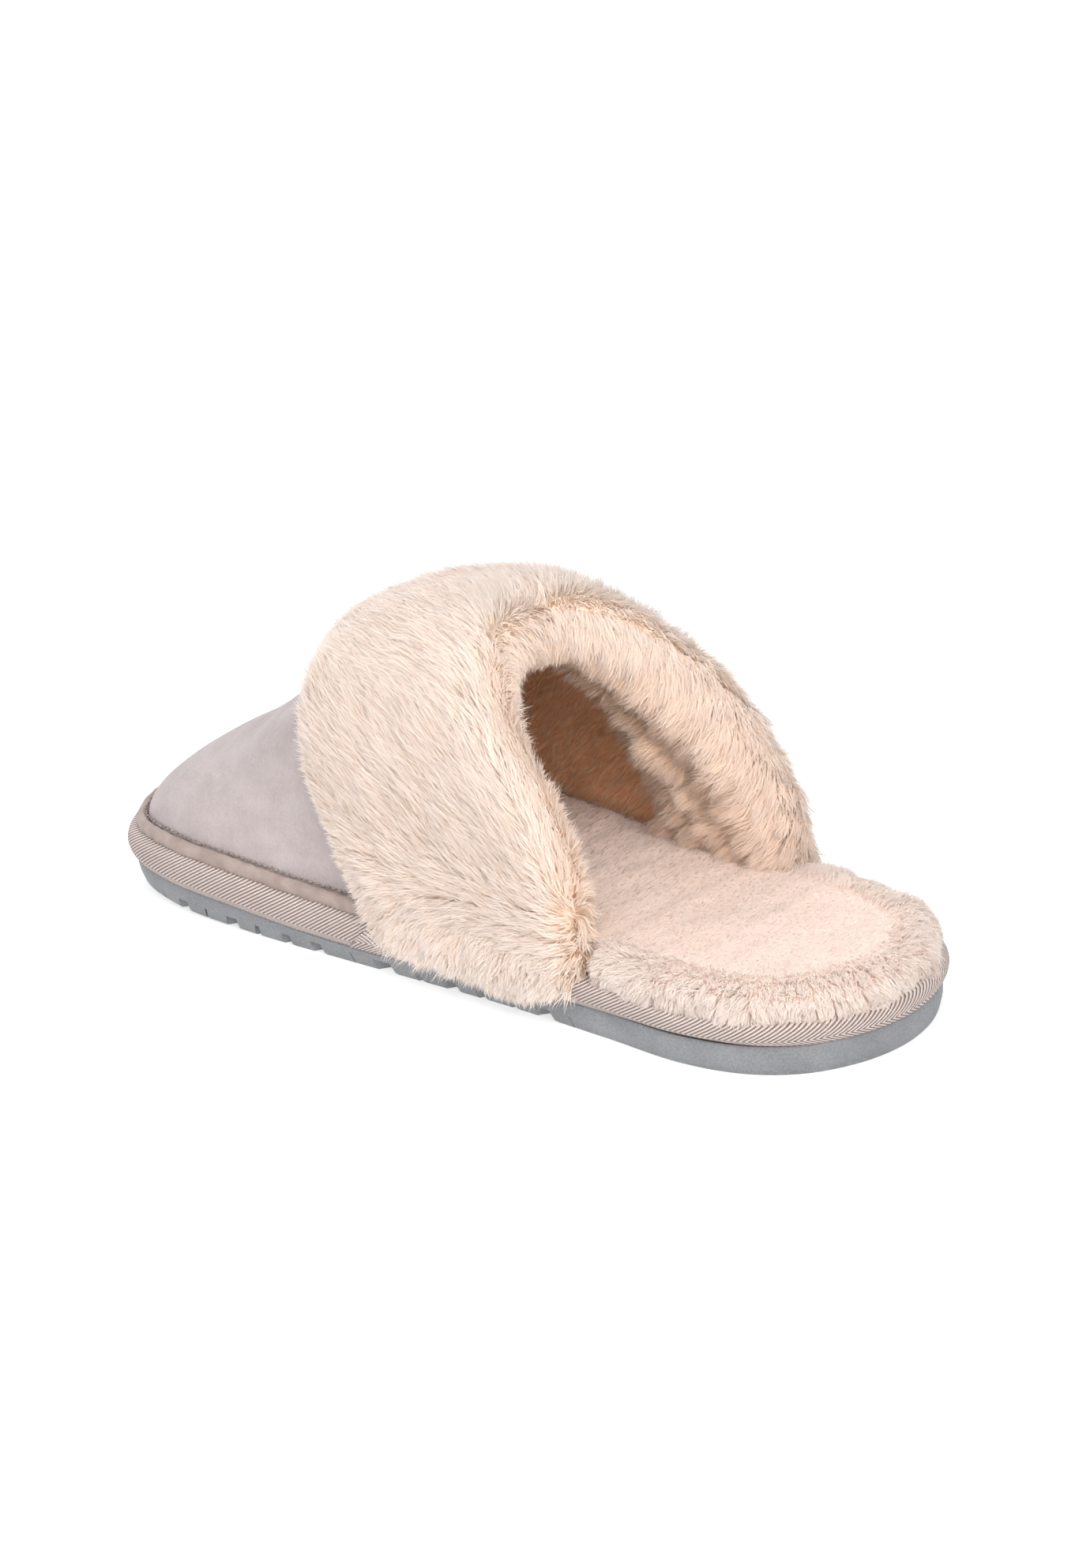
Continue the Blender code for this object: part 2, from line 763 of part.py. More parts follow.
def make_locks(collection):
    """Flattened locks that lie towards the toe, each widest behind its middle, with its rear end
    deep in the fur; they are fused on as one."""
    bm = bmesh.new()
    for share, tip_depth, free, count in LOCK_ROWS:
        for k in range(count):
            part = free + (1 - 2 * free) * k / (count - 1)
            depth = outer_depth(part)
            spots = []
            for reach, out in (
                (-LOCK_LENGTH * 0.35, depth - LOCK_ROOT_DEPTH),
                (0.0, depth),
                (LOCK_LENGTH * 0.65, depth * tip_depth),
            ):
                move = leg(share, reach)
                spots.append(Vector(collar_point(part, move, FUR_FIT + out, FUR_FIT)))
            rear, belly, tip = spots
            outward = Vector(collar_point(part, leg(share), 2 * depth, FUR_FIT)) - belly
            side = (tip - rear).cross(outward).normalized() * LOCK_WIDTH / 2
            rise = side.cross(tip - rear).normalized() * LOCK_THICKNESS / 2
            girdle = [bm.verts.new(belly + move) for move in (side, rise, -side, -rise)]
            ends = [bm.verts.new(rear), bm.verts.new(tip)]
            for end in ends:
                for j in range(len(girdle)):
                    bm.faces.new((girdle[j - 1], girdle[j], end))
    locks = add_object("locks", bm, collection)
    locks.hide_render = True
    locks.display_type = "WIRE"
    return locks


def make_collar(collection, cutters):
    look = material("collar_fur", (0.93, 0.85, 0.74), 0.95)
    bm = bmesh.new()
    sections = [collar_section(station) for station in range(COLLAR_STATIONS)]
    rows = add_loops(bm, sections)
    bridge(bm, rows)
    cap_fold(bm, rows[0])
    cap_fold(bm, rows[-1])
    collar = add_object("fur_collar", bm, collection, look)
    for side in (MEDIAL, LATERAL):
        boolean(collar, skirt_piece(side, cutters), "UNION")
    boolean(collar, make_locks(cutters), "UNION")
    return collar


def main():
    for old in list(bpy.data.objects):
        bpy.data.objects.remove(old, do_unlink=True)
    collection = bpy.data.collections.new("scuff_slipper")
    cutters = bpy.data.collections.new("cutters")
    bpy.context.scene.collection.children.link(collection)
    bpy.context.scene.collection.children.link(cutters)
    make_outsole(collection, cutters)
    make_insole(collection)
    make_tape(collection)
    make_piping(collection)
    make_upper(collection)
    make_collar(collection, cutters)


main()
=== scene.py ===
"""Looks of the right-foot scuff slipper: moulded sole, herringbone tape, piping, suede vamp, plush
footbed and the deep fur collar. Metres, +Z up, +Y towards the toe, +X towards the little toe."""

import math

import bmesh
import bpy
import numpy as np
from mathutils import Matrix, Vector


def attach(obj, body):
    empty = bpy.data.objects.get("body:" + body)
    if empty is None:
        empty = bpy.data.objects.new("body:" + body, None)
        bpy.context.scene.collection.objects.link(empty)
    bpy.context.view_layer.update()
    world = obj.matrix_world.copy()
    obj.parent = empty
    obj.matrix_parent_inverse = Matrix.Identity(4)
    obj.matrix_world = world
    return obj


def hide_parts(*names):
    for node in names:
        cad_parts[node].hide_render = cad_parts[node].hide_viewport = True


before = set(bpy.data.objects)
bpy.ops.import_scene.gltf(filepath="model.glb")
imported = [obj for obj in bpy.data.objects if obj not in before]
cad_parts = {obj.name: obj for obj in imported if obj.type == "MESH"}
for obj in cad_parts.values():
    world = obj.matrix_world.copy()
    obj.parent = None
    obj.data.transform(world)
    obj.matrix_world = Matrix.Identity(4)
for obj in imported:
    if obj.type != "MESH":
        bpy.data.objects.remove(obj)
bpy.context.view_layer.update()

# Sizes shared with the solids
LENGTH = 0.256
BALL_WIDTH = 0.087
HEEL_CENTRE = 0.037
SOLE_THICKNESS = 0.0081
SOLE_TAPER = 0.0013
TOE_SPRING = 0.0034
SPRING_START = 0.68
GROOVE_DEPTH = 0.0033
ZIGZAG_REACH = 0.0028
ZIGZAG_PITCH = 0.0150
TAPE_HEIGHT = 0.0083
TAPE_THICKNESS = 0.0014
TAPE_BULGE = 0.0017
TAPE_LIP = 0.0034
PIPING_WIDTH = 0.0028
PIPING_HEIGHT = 0.0036
PIPING_TOE_DIP = 0.35
PLUSH_HEIGHT = 0.0080
UPPER_INSET = 0.0045
WALL = 0.0024
INSTEP_HEIGHT = 0.0715
ARCH_POWER = 0.80
THROAT_FOOT_MEDIAL = 0.0790
THROAT_FOOT_LATERAL = 0.0680
THROAT_TOP = 0.1190
COLLAR_FOOT = 0.1430
COLLAR_TOP = 0.1775
COLLAR_POWER = 0.65
FUR_CROWN = 0.0128
FUR_FOOT_MEDIAL = 0.0078
FUR_FOOT_LATERAL = 0.0100
FACING_CROWN = 0.0082
FACING_FOOT = 0.0042
FACING_DEPTH = 0.034
ROLL_CROWN = 0.0112
ROLL_FOOT = 0.0080
SKIRT_DROP = 0.0097
SKIRT_FRONT_REST = 0.0080
SKIRT_REAR_REACH = 0.0060
FIT = 0.0003
MEDIAL = -1
LATERAL = 1

# share of the length, half widths on the big toe's side and the little toe's side, as shares of
# the ball's width
OUTLINE = np.array((
    (0.000, 0.000, 0.000), (0.012, 0.166, 0.166), (0.040, 0.292, 0.292), (0.090, 0.388, 0.388),
    (0.160, 0.432, 0.432), (0.260, 0.424, 0.444), (0.400, 0.417, 0.466), (0.520, 0.428, 0.514),
    (0.640, 0.440, 0.560), (0.760, 0.450, 0.540), (0.870, 0.440, 0.431), (0.950, 0.356, 0.276),
    (0.985, 0.218, 0.115), (1.000, 0.038, -0.038),
))

# share of the length, outsole's thickness and tape's height as shares of their largest
LAYERS = np.array((
    (0.00, 1.00, 0.70), (0.15, 1.00, 0.71), (0.30, 0.98, 0.75), (0.42, 0.83, 0.86),
    (0.55, 0.68, 0.96), (0.66, 0.72, 1.00), (0.77, 0.89, 1.00), (0.86, 0.93, 0.98),
    (1.00, 0.80, 0.92),
))

# share of the upper's length, rise of its crown over its lower edge as a share of the instep
CROWN = np.array((
    (0.00, 0.70), (0.20, 0.83), (0.32, 0.93), (0.42, 0.985), (0.50, 1.00), (0.58, 0.955),
    (0.66, 0.86), (0.74, 0.68), (0.82, 0.49), (0.88, 0.37), (0.93, 0.26), (0.97, 0.15),
    (1.00, 0.00),
))

# share of the way from a foot of the throat to its crown, how far its edge has moved towards the
# toe on each side
THROAT = np.array((
    (0.00, 0.00, 0.00), (0.20, 0.13, 0.07), (0.35, 0.37, 0.20), (0.47, 0.64, 0.33),
    (0.56, 0.79, 0.45), (0.72, 0.93, 0.68), (1.00, 1.00, 1.00),
))

# place along the length and width of each groove across the sole, as shares of the length
GROOVES = (
    (0.877, 0.0035), (0.840, 0.0175), (0.805, 0.0035), (0.766, 0.0195), (0.728, 0.0090),
    (0.685, 0.0150), (0.642, 0.0195), (0.592, 0.0040), (0.550, 0.0270), (0.504, 0.0098),
    (0.462, 0.0210), (0.423, 0.0130), (0.381, 0.0110), (0.338, 0.0280), (0.298, 0.0035),
)
# the same for the heel's shallow ones, and how far each reaches to the sides
HEEL_GROOVES = ((0.232, 0.0120, 0.105), (0.080, 0.0120, 0.085))

# share from the skirt's front to its rear, how far its lower edge hangs as a share of the drop
SKIRT = np.array((
    (0.00, 0.30), (0.10, 0.55), (0.30, 0.58), (0.45, 0.76), (0.62, 1.00), (0.80, 0.90),
    (0.91, 0.58), (1.00, 0.18),
))

random = np.random.default_rng(20)


def add_object(name, data):
    made = bpy.data.objects.new(name, data)
    bpy.context.scene.collection.objects.link(made)
    return made


# The photograph's view of the slipper
def make_camera():
    data = bpy.data.cameras.new("camera")
    camera = add_object("camera", data)
    right = Vector((0.69525, -0.71014, -0.11103))
    up = Vector((0.34026, 0.18911, 0.92112))
    back = right.cross(up).normalized()
    right = up.cross(back).normalized()
    up = back.cross(right)
    facing = Matrix((right, up, back)).transposed()
    camera.matrix_world = Matrix.Translation((-0.75091, -0.71334, 0.48251)) @ facing.to_4x4()
    data.sensor_width = 36
    data.lens = 107.6
    data.shift_x = 0.0226
    data.shift_y = 0.0034
    data.clip_start = 0.05
    data.clip_end = 20
    bpy.context.scene.camera = camera


MIDDLE = (0, 0.09, 0.03)
# name, place, aim, size, power, colour and spread
LIGHTS = (
    ("key", (-0.38, -0.30, 1.02), MIDDLE, 0.80, 5.0, (0.99, 0.985, 1.0), 180),
    ("back", (0.75, 0.75, 0.80), MIDDLE, 0.80, 6.2, (0.985, 0.985, 1.0), 180),
    ("toe", (-0.80, 0.75, 0.55), MIDDLE, 0.60, 4.6, (1.0, 0.99, 0.985), 180),
    ("fill", (-0.70, -1.05, 0.50), MIDDLE, 0.90, 5.5, (1.0, 0.985, 0.97), 180),
    ("inner", (-0.15, -0.36, 0.27), (0.015, 0.11, 0.035), 0.20, 0.085, (1.0, 0.96, 0.92), 40),
)


def make_studio():
    world = bpy.data.worlds.new("studio")
    bpy.context.scene.world = world
    world.use_nodes = True
    sky = world.node_tree.nodes["Background"].inputs
    sky["Color"].default_value = (0.985, 0.985, 1.0, 1)
    sky["Strength"].default_value = 0.54
    for name, place, aim, size, power, colour, spread in LIGHTS:
        data = bpy.data.lights.new(name, "AREA")
        data.shape = "DISK"
        data.size = size
        data.energy = power
        data.color = colour
        data.spread = math.radians(spread)
        light = add_object(name, data)
        light.location = place
        light.rotation_euler = (Vector(aim) - Vector(place)).to_track_quat("-Z", "Y").to_euler()
    bpy.context.scene.view_settings.view_transform = "Standard"
    # the floor glows a little, so that the shadow stays as faint as in the photograph
    white = new_material("floor_white", (0.50,) * 3, 0.9, Emission_Color=(1, 1, 1, 1),
                         Emission_Strength=0.60)[0]
    corners = ((-6, -6, 0), (6, -6, 0), (6, 6, 0), (-6, 6, 0))
    make_mesh("floor", corners, [[(0, 1, 2, 3)]], white)


# Node materials
def new_material(name, colour, roughness, **sockets):
    look = bpy.data.materials.new(name)
    look.use_nodes = True
    shader = look.node_tree.nodes["Principled BSDF"]
    shader.inputs["Base Color"].default_value = (*colour, 1)
    shader.inputs["Roughness"].default_value = roughness
    for socket, value in sockets.items():
        shader.inputs[socket.replace("_", " ")].default_value = value
    return look, look.node_tree, shader


def put(tree, kind, links=None, **settings):
    """Adds a node; `links` joins its inputs to sockets or sets their values."""
    made = tree.nodes.new("ShaderNode" + kind)
    for name, value in settings.items():
        setattr(made, name, value)
    for name, value in (links or {}).items():
        if isinstance(value, bpy.types.NodeSocket):
            tree.links.new(value, made.inputs[name])
        else:
            made.inputs[name].default_value = value
    return made


def maths(tree, operation, first, second=0.0):
    return put(tree, "Math", {0: first, 1: second}, operation=operation).outputs[0]


def noise(tree, scale, detail=3.0, stretch=None):
    """Noise over the slipper's own metres."""
    vector = put(tree, "TexCoord").outputs["Object"]
    if stretch:
        vector = put(tree, "Mapping", {"Vector": vector, "Scale": stretch}).outputs[0]
    made = put(tree, "TexNoise", {"Vector": vector, "Scale": scale, "Detail": detail})
    return made.outputs["Fac"]


def ramp(tree, value, *stops):
    made = put(tree, "ValToRGB", {"Fac": value})
    elements = made.color_ramp.elements
    while len(elements) < len(stops):
        elements.new(0.5)
    for element, (place, colour) in zip(elements, stops):
        element.position = place
        element.color = (*colour, 1)
    return made.outputs["Color"]


def blend(tree, share, first, second, mode="MIX"):
    return put(tree, "Mix", {0: share, 6: first, 7: second}, data_type="RGBA",
               blend_type=mode).outputs[2]


def bump(tree, shader, height, distance, before=None):
    links = {"Height": height, "Distance": distance, "Strength": 1.0}
    if before:
        links["Normal"] = before
    made = put(tree, "Bump", links).outputs[0]
    tree.links.new(made, shader.inputs["Normal"])
    return made


def colour_in(tree, shader, colour, *layers):
    """Colours the surface with the first colour times each of the layers."""
    for layer in layers:
        colour = blend(tree, 1.0, colour, layer, "MULTIPLY")
    tree.links.new(colour, shader.inputs["Base Color"])
    return colour


def srgb(red, green, blue):
    """Linear colour from values out of 255."""
    shares = np.array((red, green, blue)) / 255
    return tuple(np.where(shares <= 0.04045, shares / 12.92, ((shares + 0.055) / 1.055) ** 2.4))


def sole_rubber():
    look, tree, shader = new_material("sole_rubber", srgb(160, 162, 166), 0.55)
    cloud = ramp(tree, noise(tree, 60), (0.35, srgb(126, 128, 131)), (0.7, srgb(141, 143, 146)))
    speck = ramp(tree, noise(tree, 1900, 1.0), (0.40, (0.80,) * 3), (0.60, (1.0,) * 3))
    colour_in(tree, shader, cloud, speck)
    bump(tree, shader, noise(tree, 1500, 2.0), 0.00022)
    return look


def tape_weave():
    """Herringbone: diagonal ribs, turned round on the lowest third."""
    look, tree, shader = new_material("edge_tape", srgb(205, 190, 183), 0.8, Sheen_Weight=0.15)
    place = put(tree, "Attribute", attribute_name="weave").outputs["Vector"]
    axes = put(tree, "SeparateXYZ", {"Vector": place})
    turn_height, slope, rib_pitch, thread_pitch = 0.0026, 1.20, 0.00155, 0.00045
    lift = maths(tree, "ABSOLUTE", maths(tree, "SUBTRACT", axes.outputs["Y"], turn_height))
    line = maths(tree, "ADD", axes.outputs["X"], maths(tree, "MULTIPLY", lift, slope))
    wave, thread = (maths(tree, "SINE", maths(tree, "MULTIPLY", at, 2 * math.pi / pitch))
                    for at, pitch in ((line, rib_pitch), (axes.outputs["Y"], thread_pitch)))
    height = maths(tree, "ADD", wave, maths(tree, "MULTIPLY", thread, 0.06))
    share = maths(tree, "ADD", maths(tree, "MULTIPLY", wave, 0.5), 0.5)
    ribs = ramp(tree, share, (0.08, srgb(108, 88, 78)), (0.36, srgb(204, 188, 183)),
                (1.0, srgb(222, 208, 203)))
    cloud = ramp(tree, noise(tree, 70), (0.3, (0.93, 0.92, 0.91)), (0.7, (1.0,) * 3))
    colour_in(tree, shader, ribs, cloud)
    bump(tree, shader, height, 0.00022)
    return look


def binding_cloth():
    look, tree, shader = new_material("piping_binding", srgb(182, 164, 155), 0.85,
                                      Sheen_Weight=0.2)
    cloud = ramp(tree, noise(tree, 220), (0.3, srgb(144, 126, 118)), (0.7, srgb(164, 148, 141)))
    colour_in(tree, shader, cloud)
    bump(tree, shader, noise(tree, 2600, 2.0), 0.00012)
    return look


def thread_look():
    look, tree, shader = new_material("seam_thread", srgb(150, 133, 125), 0.8)
    colour_in(tree, shader, ramp(tree, noise(tree, 900), (0.3, srgb(126, 108, 100)),
                                 (0.7, srgb(170, 153, 146))))
    return look


def suede():
    """Short nap: cloudy patches where it has been brushed, and a fine felted grain."""
    look, tree, shader = new_material("vamp_suede", srgb(205, 194, 194), 0.95, Sheen_Weight=0.35,
                                      Sheen_Roughness=0.6)
    shader.inputs["Sheen Tint"].default_value = (1.0, 0.97, 0.97, 1)
    cloud = ramp(tree, noise(tree, 95, 5.0), (0.30, srgb(166, 154, 153)),
                 (0.52, srgb(174, 162, 161)), (0.74, srgb(182, 171, 170)))
    brushed = ramp(tree, noise(tree, 260, 4.0, stretch=(1.0, 0.4, 1.0)), (0.35, (0.94,) * 3),
                   (0.65, (1.02,) * 3))
    felt = ramp(tree, noise(tree, 1500, 4.0), (0.35, (0.93, 0.925, 0.92)), (0.62, (1.02,) * 3))
    colour_in(tree, shader, cloud, brushed, felt)
    first = bump(tree, shader, noise(tree, 420, 3.0), 0.00040)
    bump(tree, shader, noise(tree, 2600, 3.0), 0.00030, first)
    return look


def pile(name, cool, fold_shade, mottle, through=0.5):
    """Fur or plush: colours of root, body and tip, cool outside and warmer in the folds as painted
    shade. The tint attribute holds the place along a hair, its own random tone, its lock's random
    tone and its share of the painted fold shade. `through` is the share of the light that passes
    through a hair."""
    look, tree, shader = new_material(name, cool[2], 0.9, Sheen_Weight=0.35, Sheen_Roughness=0.5)
    mark = put(tree, "Attribute", attribute_name="tint")
    parts = put(tree, "SeparateColor", {"Color": mark.outputs["Color"]})
    along, own, lock = (parts.outputs[k] for k in ("Red", "Green", "Blue"))
    # darker, yellower roots: partly the fur's own colour, partly painted shade in the gaps between
    # hairs
    hairs = [ramp(tree, along, (0.0, root), (0.50, body), (1.0, tip)) for root, body, tip in
             (cool, fold_shade)]
    # the alpha channel mixes in the warmer, darker fold tones: painted shade deep in the fold
    hair = blend(tree, mark.outputs["Alpha"], hairs[0], hairs[1])
    shade = ramp(tree, own, (0.0, (0.985, 0.98, 0.97)), (1.0, (1.0,) * 3))
    patch = ramp(tree, lock, (0.0, mottle), (0.8, (1.0,) * 3))
    colour = colour_in(tree, shader, hair, shade, patch)
    if through:
        passed = put(tree, "BsdfTranslucent", {"Color": colour})
        both = put(tree, "MixShader", {0: through, 1: shader.outputs[0], 2: passed.outputs[0]})
        tree.links.new(both.outputs[0], tree.nodes["Material Output"].inputs["Surface"])
    else:
        bump(tree, shader, noise(tree, 2400, 3.0), 0.0003)
    return look


# Shape of the last
def smooth(x, xs, ys):
    slopes = np.gradient(ys, xs)
    k = np.clip(np.searchsorted(xs, x, side="right") - 1, 0, len(xs) - 2)
    step = xs[k + 1] - xs[k]
    t = (x - xs[k]) / step
    start = (1 + 2 * t) * (1 - t) ** 2 * ys[k] + t * (1 - t) ** 2 * step * slopes[k]
    end = t * t * (3 - 2 * t) * ys[k + 1] + t * t * (t - 1) * step * slopes[k + 1]
    return start + end


def read(table, x, index):
    return smooth(x, table[:, 0], table[:, index])


def turn(share):
    return np.arccos(1 - 2 * np.clip(share, 0, 1)) / math.pi


def ring(inset, steps):
    """The sole's outline moved inwards, round the toe and back round the heel."""
    place = np.linspace(0, 1, steps + 1)
    along = (1 - np.cos(math.pi * place)) / 2 * LENGTH - HEEL_CENTRE
    crowded = turn(OUTLINE[:, 0])
    lateral = np.column_stack([smooth(place, crowded, OUTLINE[:, 2]) * BALL_WIDTH, along])
    medial = np.column_stack([-smooth(place, crowded, OUTLINE[:, 1]) * BALL_WIDTH, along])
    points = np.concatenate([lateral, medial[-2:0:-1]])
    tangent = np.roll(points, -1, axis=0) - np.roll(points, 1, axis=0)
    outward = np.column_stack([tangent[:, 1], -tangent[:, 0]])
    outward /= np.linalg.norm(outward, axis=1)[:, None]
    return points - outward * np.reshape(inset, (-1, 1))


def sides(points):
    """A ring's halves from the heel to the toe: the little toe's side, then the big toe's."""
    half = len(points) // 2
    return points[:half + 1], np.concatenate([points[:1], points[:half - 1:-1]])


EDGE_INSETS = np.arange(-0.026, 0.0261, 0.001)
EDGE_PLACES = np.linspace(-HEEL_CENTRE, LENGTH - HEEL_CENTRE, 1025)


def edge_table(half):
    lines = [sides(ring(inset, 256))[half] for inset in EDGE_INSETS]
    return np.array([np.interp(EDGE_PLACES, line[:, 1], line[:, 0]) for line in lines])


EDGES = {LATERAL: edge_table(0), MEDIAL: edge_table(1)}


def between(grid, row, column):
    """Values of a grid at places between its points."""
    row = np.clip(row, 0, grid.shape[0] - 1.001)
    column = np.clip(column, 0, grid.shape[1] - 1.001)
    i, j = row.astype(int), column.astype(int)
    a, b = (np.reshape(part, np.shape(part) + (1,) * (grid.ndim - 2))
            for part in (row - i, column - j))
    near = grid[i, j] * (1 - b) + grid[i, j + 1] * b
    far = grid[i + 1, j] * (1 - b) + grid[i + 1, j + 1] * b
    return near * (1 - a) + far * a


def edge_x(inset, side, y):
    """x of the outline moved inwards, read from the table of insets and places."""
    row = (np.asarray(inset) - EDGE_INSETS[0]) / 0.001
    column = (np.asarray(y) - EDGE_PLACES[0]) / (EDGE_PLACES[1] - EDGE_PLACES[0])
    return between(EDGES[side], row, column)


def along_share(y):
    return np.clip((y + HEEL_CENTRE) / LENGTH, 0, 1)


def spring(y):
    share = np.clip((along_share(y) - SPRING_START) / (1 - SPRING_START), 0, 1)
    return TOE_SPRING * share ** 2


def sole_top(y):
    return spring(y) + SOLE_THICKNESS * read(LAYERS, along_share(y), 1)


def tape_height(y):
    return TAPE_HEIGHT * read(LAYERS, along_share(y), 2)


def tape_top(y):
    return sole_top(y) + FIT + tape_height(y)


def upper_base(y):
    return tape_top(y) - TAPE_THICKNESS


def crown_rise(y, out):
    toe = LENGTH - UPPER_INSET + np.minimum(out, 0.0)
    share = (y + HEEL_CENTRE) / toe
    rise = smooth(turn(share), turn(CROWN[:, 0]), CROWN[:, 1])
    return np.maximum(rise, 0.0) * (INSTEP_HEIGHT + out)


def arch(angle, y, out):
    """Points over the foot: angle 0 at the big toe's side, pi at the little toe's side."""
    left = edge_x(UPPER_INSET - out, MEDIAL, y)
    right = edge_x(UPPER_INSET - out, LATERAL, y)
    cosine = np.cos(angle)
    across = np.sign(cosine) * np.abs(cosine) ** ARCH_POWER
    up = np.abs(np.sin(angle)) ** ARCH_POWER
    x = (left + right) / 2 - (right - left) / 2 * across
    return np.stack([x, y + 0 * x, upper_base(y) + crown_rise(y, out) * up], axis=-1)


def throat(angle):
    angle = np.clip(angle, 0.0, math.pi)
    medial = angle < math.pi / 2
    foot = np.where(medial, THROAT_FOOT_MEDIAL, THROAT_FOOT_LATERAL)
    share = 1 - np.abs(1 - angle / (math.pi / 2))
    rise = np.where(medial, read(THROAT, share, 1), read(THROAT, share, 2))
    return foot + (THROAT_TOP - foot) * rise - HEEL_CENTRE


def border(angle):
    rise = np.abs(np.sin(angle)) ** COLLAR_POWER
    return COLLAR_FOOT + (COLLAR_TOP - COLLAR_FOOT) * rise - HEEL_CENTRE


def foot_angle(y, out, height):
    share = (height - upper_base(y)) / np.maximum(crown_rise(y, out), 1e-6)
    return np.arcsin(np.clip(share, 0.0, 1.0) ** (1 / ARCH_POWER))


def from_feet(medial, lateral, crown, angle):
    foot = medial + (lateral - medial) * (1 - np.cos(angle)) / 2
    return foot + (crown - foot) * np.sin(angle)


# Meshes
def unit(vectors):
    return vectors / np.maximum(np.linalg.norm(vectors, axis=-1, keepdims=True), 1e-12)


def make_mesh(name, points, faces, look, normals=None, **attributes):
    """One object from points and lists of quads and triangles."""
    mesh = bpy.data.meshes.new(name)
    points = np.asarray(points, np.float32).reshape(-1, 3)
    corners = np.concatenate([np.ravel(group) for group in faces]).astype(np.int32)
    sizes = np.concatenate([np.full(len(group), np.shape(group)[1]) for group in faces])
    starts = np.concatenate([[0], np.cumsum(sizes)[:-1]]).astype(np.int32)
    mesh.vertices.add(len(points))
    mesh.vertices.foreach_set("co", points.ravel())
    mesh.loops.add(len(corners))
    mesh.loops.foreach_set("vertex_index", corners)
    mesh.polygons.add(len(sizes))
    mesh.polygons.foreach_set("loop_start", starts)
    mesh.update(calc_edges=True)
    mesh.shade_smooth()
    for key, values in attributes.items():
        kind = "color" if np.shape(values)[1] == 4 else "vector"
        made = mesh.attributes.new(key, "FLOAT_" + kind.upper(), "POINT")
        made.data.foreach_set(kind, np.asarray(values, np.float32).ravel())
    if normals is not None:
        mesh.normals_split_custom_set_from_vertices(normals.tolist())
    mesh.materials.append(look)
    return add_object(name, mesh)


def grid_quads(rows, columns, start=0, close=False, flip=False):
    """Quads of a grid of points, row by row; `close` joins the last column to the first."""
    last = columns if close else columns - 1
    r, c = np.meshgrid(np.arange(rows - 1), np.arange(last), indexing="ij")
    n = (c + 1) % columns
    quads = np.stack([r * columns + c, r * columns + n, (r + 1) * columns + n,
                      (r + 1) * columns + c], axis=-1).reshape(-1, 4) + start
    return quads[:, ::-1] if flip else quads


def face_outwards(mesh, weld=0.0):
    """Turns the faces outwards, and joins points that are closer than `weld`."""
    bm = bmesh.new()
    bm.from_mesh(mesh)
    if weld:
        bmesh.ops.remove_doubles(bm, verts=bm.verts, dist=weld)
    bmesh.ops.recalc_face_normals(bm, faces=bm.faces)
    bm.to_mesh(mesh)
    bm.free()


def hold(piece):
    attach(piece, "root")


def dress(piece, node):
    hold(piece)
    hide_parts(node)


def ring_rows(profile, steps):
    """Rings of the outline at each (how far out, height as a function of y)."""
    rows = []
    for out, height in profile:
        flat = ring(-np.asarray(out), steps)
        rows.append(np.column_stack([flat, height(flat[:, 1])]))
    return np.array(rows)


# Fur and plush
class Skin:
    """A grid of points that hair grows from, with its own facts at each point."""

    def __init__(self, points, outward, **facts):
        self.fields = np.concatenate(
            [points, grid_normals(points, outward), unit(np.gradient(points, axis=0))]
            + [np.broadcast_to(f, points.shape[:2])[..., None] for f in facts.values()], axis=-1)
        self.names = list(facts)
        cell = np.cross(points[1:, 1:] - points[:-1, :-1], points[1:, :-1] - points[:-1, 1:])
        self.area = np.linalg.norm(cell, axis=-1) / 2

    def at(self, row, column):
        found = between(self.fields, row, column)
        facts = {name: found[:, 9 + k] for k, name in enumerate(self.names)}
        facts["row_way"] = unit(found[:, 6:9])
        return found[:, :3], unit(found[:, 3:6]), facts

    def scatter(self, count, density):
        weight = self.area * density
        chance = np.cumsum(weight.ravel())
        pick = np.searchsorted(chance, random.random(count) * chance[-1])
        pick = np.minimum(pick, weight.size - 1)
        row, column = np.divmod(pick, weight.shape[1])
        return row + random.random(count), column + random.random(count)


def lock_centres(row, column, size):
    """The nearest centre in a grid of jittered centres, and a number of its own for each lock."""
    cell_row, cell_column = np.floor(row / size[0]), np.floor(column / size[1])
    best = np.full(len(row), 1e9)
    found = np.zeros((len(row), 3))
    for step_row in (-1, 0, 1):
        for step_column in (-1, 0, 1):
            r, c = cell_row + step_row, cell_column + step_column
            first = np.modf(np.abs(np.sin(r * 127.1 + c * 311.7) * 43758.55))[0]
            second = np.modf(np.abs(np.sin(r * 269.5 + c * 183.3) * 24634.63))[0]
            centre_row = (r + 0.15 + 0.7 * first) * size[0]
            centre_column = (c + 0.15 + 0.7 * second) * size[1]
            gap = ((row - centre_row) / size[0]) ** 2 + ((column - centre_column) / size[1]) ** 2
            near = gap < best
            best = np.where(near, gap, best)
            own = np.modf(first * 7.13 + second * 3.71)[0]
            for k, value in enumerate((centre_row, centre_column, own)):
                found[:, k] = np.where(near, value, found[:, k])
    return found


def hair_line(skin, row, column, comb, scale):
    """Root, middle and tip of the hairs at these places; `comb` gives their lie."""
    root, normal, facts = skin.at(row, column)
    flow, lift, length = comb(root, normal, facts)
    flow = flow - normal * np.sum(flow * normal, axis=1, keepdims=True)
    flow = flow / np.maximum(np.linalg.norm(flow, axis=1, keepdims=True), 0.5)
    lift = np.reshape(lift, (-1, 1))
    length = np.reshape(length * scale, (-1, 1))
    start = unit(normal * (lift + 0.35) + flow * (1 - lift))
    end = unit(normal * np.maximum(lift - 0.28, 0.02) + flow * (1.1 - lift))
    middle = root + start * length * 0.5
    return root, middle, middle + end * length * 0.5, normal, length


